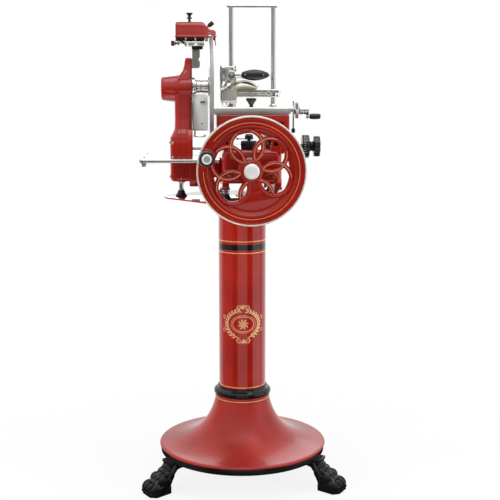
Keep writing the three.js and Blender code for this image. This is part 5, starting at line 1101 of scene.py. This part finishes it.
frameBits = [block((-197, -30, 1373), (-191.5, -22, 1391), 1.4), rod("x", -192, -174, 2.6, (0, -26, 1380), 0.8, 32),
             rod("y", -35.9, -28, 3.6, (-126, 0, 1378), 0.8, 32), rod("z", 1384, 1396, 3, (-172, -31, 0), 0.6, 32),
             rod("z", 1384, 1396, 3, (-143, -31, 0), 0.6, 32),
             block((-129, -24, 1392), (-119, -10, 1412), 1.5, 2, "x"),
             ring("x", -119, -116, 6, 3.1, stoneAxis, 0.6, 40)]
piece("frame_bits", frameBits, "base", chrome)
darkBits = [rod("z", 1383 - k % 2 * 4, 1396, 3.4, (x, -31.5, 0), 1, 32)
            for k, x in enumerate((-185, -165, -155, -134, -124))]
darkBits += [rod("y", -33, 33, 4.2, (x, 0, 1364.6), 1, 32) for x in (-149, -139, -126)]
darkBits += [block((-154, -30, 1363), (-120, -26, 1371), 1), block((-154, 26, 1363), (-120, 30, 1371), 1)]
leanPin = rod("z", -9, 9, 2.8, (0, 0, 0), 0.8, 28)
darkBits.append(placed(leanPin, Matrix.Translation((-181, -31, 1385)) @ Matrix.Rotation(math.radians(-28), 4, "Y")))
piece("frame_rollers", darkBits, "base", blackEnamel, sharp=40)

coverSizes = {"left": -203, "right": -80, "low": 1396.2, "top": 1445, "stepTop": 1420, "stepFrom": -117,
              "stepTo": -100, "half": 36, "round": 9, "bulge": 2, "wall": 2, "shoulder": 18, "lean": 6}


# Sections across y stand side by side along x: a rounded arch whose height follows the top line, drawn in at both
# ends by a quarter circle, with a soft bulge over the lower flange.
def coverBody(shrink, low):
    s = coverSizes
    line = fillet([(s["left"], s["top"], 0), (s["stepFrom"], s["top"], 9), (s["stepTo"], s["stepTop"], 9),
                   (s["right"], s["stepTop"], 0)], 10, False)
    turn = np.linspace(0, math.pi / 2, 9)
    r = s["round"] - shrink * 0.9
    left, right = s["left"] + shrink, s["right"] - shrink
    x = np.concatenate([left + r * (1 - np.cos(turn)), np.linspace(left + r, right - r, 90)[1:-1],
                        right - r * (1 - np.cos(turn[::-1]))])
    pulled = np.concatenate([r * (1 - np.sin(turn)), np.zeros(88), r * (1 - np.sin(turn[::-1]))])
    high = np.interp(x, line[:, 0], line[:, 1]) - shrink - pulled
    half = s["half"] - shrink - pulled
    corner = np.maximum(np.interp(x, [s["stepFrom"], s["stepTo"]], [s["shoulder"], 9]) - shrink - pulled, 0.4)
    v = np.linspace(0, 1, 12)
    arc = np.linspace(0, math.pi / 2, 10)
    rows = []
    for hx, hz, hy, hc in zip(x, high, half, corner):
        up = low + (hz - hc - low) * v
        belly = s["bulge"] * np.exp(-((up - low) / 5.0) ** 4) * (shrink == 0)
        tilt = s["lean"] * v**1.5
        side = np.column_stack([-hy + s["bulge"] - belly + tilt, up])
        bend = np.column_stack([-hy + s["bulge"] + s["lean"] + hc * (1 - np.cos(arc)),
                                hz - hc + hc * np.sin(arc)])[1:]
        halfRing = np.concatenate([side, bend])
        section = np.concatenate([halfRing, halfRing[::-1] * [-1, 1]])
        rows.append(np.column_stack([np.full(len(section), hx), section]))
    return grid(np.stack(rows), caps=True)


coverShell = carve([coverBody(0, coverSizes["low"])],
                   [coverBody(coverSizes["wall"], coverSizes["low"] - 12),
                    block((-101.6, -60, 1380), (-86.6, 60, 1407.5), 0.4),
                    rod("z", 1430, 1460, 4.3, plungerAxis)])
piece("cover_shell", coverShell, "base", red, "sharpener_cover", 40)
rimPath = rectangle(-203.4, -36.4, -79.6, 36.4, 7, 8)
rimPath = toSpace(rimPath[:, 0], rimPath[:, 1], 1399.2 + 0 * rimPath[:, 0], "z")
coverTrim = [carried(rimPath, rectangle(-2.4, -1.3, 2.4, 1.3, 1.1, 3), (0, 0, 1), True)]
flapX, flapZ, flapAt = (0, 0.6, 2.2, 3.2), (1400, 1390, 1378, 1372.4), (0, 0.4, 0.8, 1)
share = np.linspace(0, 1, 24)
for x, way in ((-200, -1), (-83.5, 1)):
    flapLine = np.interp(share, flapAt, [x + way * lean for lean in flapX])
    path = np.stack([flapLine, 0 * share, np.interp(share, flapAt, flapZ)], -1)
    taper = np.interp(share, [0, 0.3, 1], [1.0, 0.95, 0.55])
    coverTrim.append(carried(path, rectangle(-24, -2.6, 24, 2.0, 1.6, 3), (1, 0, 0), scale=taper))
piece("cover_trim", coverTrim, "base", red, sharp=40)

plungerShapes = [turned([(0, 1453.4, 0), (8.6, 1453.4, 0.6), (9, 1455, 1), (6, 1458, 2), (4.6, 1461, 2),
                         (6.2, 1465, 3), (11, 1469.6, 1), (10.6, 1471.1, 0.6), (0, 1471.3, 0)], "z",
                        plungerAxis, 64, 5), rod("z", 1370.2, 1454, 3.9, plungerAxis, 0.5, 32)]
piece("plunger_top", plungerShapes, "plunger", knobBlack, "plunger_knob", 50)
honeLean = math.radians(52)
leaning = Matrix.Translation((-111, 0, 1425)) @ Matrix.Rotation(honeLean, 4, "Y")
leaningKnob = placed(turned([(0, -12, 0), (2.9, -12, 0.3), (2.9, 11, 0.3), (5.6, 11, 0.8), (6.4, 13, 1.5),
                             (7, 27.4, 1.2), (6, 29, 1), (0, 29, 0)], "z", (0, 0, 0), 56, 4), leaning)
piece("hone_top", leaningKnob, "hone_button", knobBlack, "hone_knob", 45)
discShapes = [turned([(0, -113.5, 0), (14, -113.5, 1), (15, -112, 1), (15, -106, 1), (14, -104.6, 1),
                      (0, -104.6, 0)], "x", stoneAxis, 72, 4), rod("x", -128.6, -106, 2.9, stoneAxis, 0.4, 28)]
piece("stone_disc", discShapes, "grinder", gritLook, "grinding_stone", 40)
piece("stone_small", [rod("x", -88.2, -84.2, 11, (0, 0, 1400), 0.8, 56),
                      rod("x", -86, -83.4, 3, (0, 0, 1400), 0.3, 28)], "honer", gritLook, "honing_stone", 40)
knurlShapes = [lobedKnob([(0, -216.8, 0), (6.4, -216.8, 0.8), (7.4, -215.6, 0.8), (7.4, -207.4, 0.8),
                          (6.4, -206.2, 0.8), (0, -206.2, 0)], 5, "x", thumbAxis, 24, 0.05),
               rod("x", -207, -190.2, 2.9, thumbAxis, 0.4, 28)]
piece("cover_thumb", knurlShapes, "cover_screw", knobBlack, "lock_screw", 40)
print("sharpener ready")

# Carried-over CAD nodes get a real finish
carriedOver = {
    "tie_rod": brushed, "main_bush": bronze, "drive_chain": brushed, "main_shaft": brushed, "crank_shaft": brushed,
    "bevel_gear_cross": brushed, "lower_sprocket": brushed, "sector_lever": brushed, "carriage_rack": brushed,
}
for name, finish in carriedOver.items():
    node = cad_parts[name]
    node.data.materials.clear()
    node.data.materials.append(finish.material)

# Camera where the photographer stood, lights, floor and backdrop
view = {"place": (-139.8, -3203, 1240), "turn": 2.94, "down": 8.88, "focal": 1026, "picture": 500, "sensor": 36}
turn, down = math.radians(view["turn"]), math.radians(view["down"])
forward = Vector((math.sin(turn) * math.cos(down), math.cos(turn) * math.cos(down), -math.sin(down)))
right = Vector((math.cos(turn), -math.sin(turn), 0))
lens = bpy.data.cameras.new("camera")
lens.sensor_width = view["sensor"]
lens.lens = view["focal"] / view["picture"] * view["sensor"]
lens.clip_end = 60
camera = bpy.data.objects.new("camera", lens)
scene.collection.objects.link(camera)
facing = Matrix((right, right.cross(forward), -forward)).transposed().to_4x4()
camera.matrix_world = Matrix.Translation(Vector(view["place"]) * mm) @ facing
scene.camera = camera
scene.view_settings.view_transform = "Standard"

# Area lamps: place, size and target in metres, power, and whether reflections show them
lamps = {
    "key": ((-2.6, -2.4, 2.0), (1.2, 2.4), 50, (0, 0, 0.9), False),
    "left": ((-2.7, -0.75, 1.1), (0.5, 1.8), 30, (0, -0.2, 0.9), False),
    "right": ((2.7, -0.8, 1.1), (0.5, 1.8), 22, (0, -0.2, 0.9), False),
    "fill": ((2.8, -1.8, 1.7), (0.9, 2.4), 34, (0, 0, 0.9), False),
    "top": ((0.2, -0.6, 3.6), (2.4, 2.4), 40, (0, 0, 0.9), True),
    "back": ((0.5, 2.8, 2.2), (2.2, 1.8), 30, (0, 0, 0.9), True),
}
for name, (place, size, power, target, reflected) in lamps.items():
    lamp = bpy.data.lights.new(name, "AREA")
    lamp.shape, lamp.size, lamp.size_y, lamp.energy = "RECTANGLE", size[0], size[1], power
    thing = bpy.data.objects.new(name, lamp)
    scene.collection.objects.link(thing)
    thing.location = place
    thing.rotation_euler = (Vector(target) - Vector(place)).to_track_quat("-Z", "Y").to_euler()
    thing.visible_glossy = reflected


# Brightness round the studio by azimuth in degrees, 0 in front and growing to the right: a pale left side, two dark
# posts, the front between them, and a bright right side. Value = ramp(atan2(x, -y) / turn + 1/2) x brightest.
def studioBands(nodes, vector, front, brightest=1.3):
    stops = ((-180, 0.95), (-125, 0.95), (-108, 0.3), (-54, 0.26), (-47, 0.03), (-28, 0.03), (-22, front),
             (19, front),
             (24, 0.02), (46, 0.02), (52, 1.3), (93, 1.3), (97, 0.4), (102, 0.4), (107, 1.1), (180, 0.95))
    apart = nodes.node("ShaderNodeSeparateXYZ", values=[vector]).socket.node
    across, ahead, up = (Wire(nodes, socket) for socket in apart.outputs)
    ramp = nodes.node("ShaderNodeValToRGB", values=[across.maths("ARCTAN2", ahead * -1) / full + 0.5])
    marks = ramp.socket.node.color_ramp.elements
    for degrees, height in stops[1:-1]:
        marks.new(degrees / 360 + 0.5)
    for mark, (degrees, height) in zip(marks, stops):
        mark.color = (height / brightest,) * 3 + (1,)
    return ramp * brightest, up


# The world: white to the camera, bands to reflections, even light to the rest
scene.world = bpy.data.worlds.new("studio")
scene.world.use_nodes = True
studio = Nodes(scene.world.node_tree)
studio.tree.nodes.clear()
bands, up = studioBands(studio, studio.node("ShaderNodeTexCoord", output="Generated"), 0.1)
level = bands.maths("MAXIMUM", up.ramp(-0.02, 0.05, 0.0, 0.45) + up.ramp(0.22, 0.65, 0.0, 0.8))
ambient = studio.node("ShaderNodeBackground", values=[(0.95, 0.97, 1, 1), 0.42])
shown = studio.node("ShaderNodeBackground", values=[level])
seen = studio.node("ShaderNodeBackground", values=[(1, 1, 1, 1)])
for output, second in (("Is Glossy Ray", shown), ("Is Camera Ray", seen)):
    ambient = studio.node("ShaderNodeMixShader", values=[studio.node("ShaderNodeLightPath", output=output), ambient,
                                                         second])
studio.plug(studio.tree.nodes.new("ShaderNodeOutputWorld").inputs["Surface"], ambient)

# The floor: shades for the eye near the foot only, and shows the bands to reflections further out
half = 4.6
floorMesh = bpy.data.meshes.new("floor")
floorMesh.from_pydata([(-half, -half, 0), (half, -half, 0), (half, half, 0), (-half, half, 0)], [], [(0, 1, 2, 3)])
floor = bpy.data.objects.new("floor", floorMesh)
scene.collection.objects.link(floor)
paint = Look("floorPaint", (0.82, 0.82, 0.82), 0.7)
spot = paint.node("ShaderNodeTexCoord", output="Object")
far = paint.node("ShaderNodeVectorMath", {"operation": "LENGTH"}, [spot], output="Value")
bands, _ = studioBands(paint, spot, 0.95)
shine = paint.node("ShaderNodeEmission", values=[bands * far.ramp(0.4, 0.85)])
glow = paint.node("ShaderNodeEmission")
glossy, eye = (paint.node("ShaderNodeLightPath", output=output) for output in ("Is Glossy Ray", "Is Camera Ray"))
mixed = paint.node("ShaderNodeMixShader", values=[glossy, Wire(paint, paint.shader.outputs[0]), shine])
mixed = paint.node("ShaderNodeMixShader", values=[eye * far.ramp(0.35, 1.3, 0.86, 1.0), mixed, glow])
paint.plug(paint.tree.nodes["Material Output"].inputs["Surface"], mixed)
floorMesh.materials.append(paint.material)
print("stage ready")
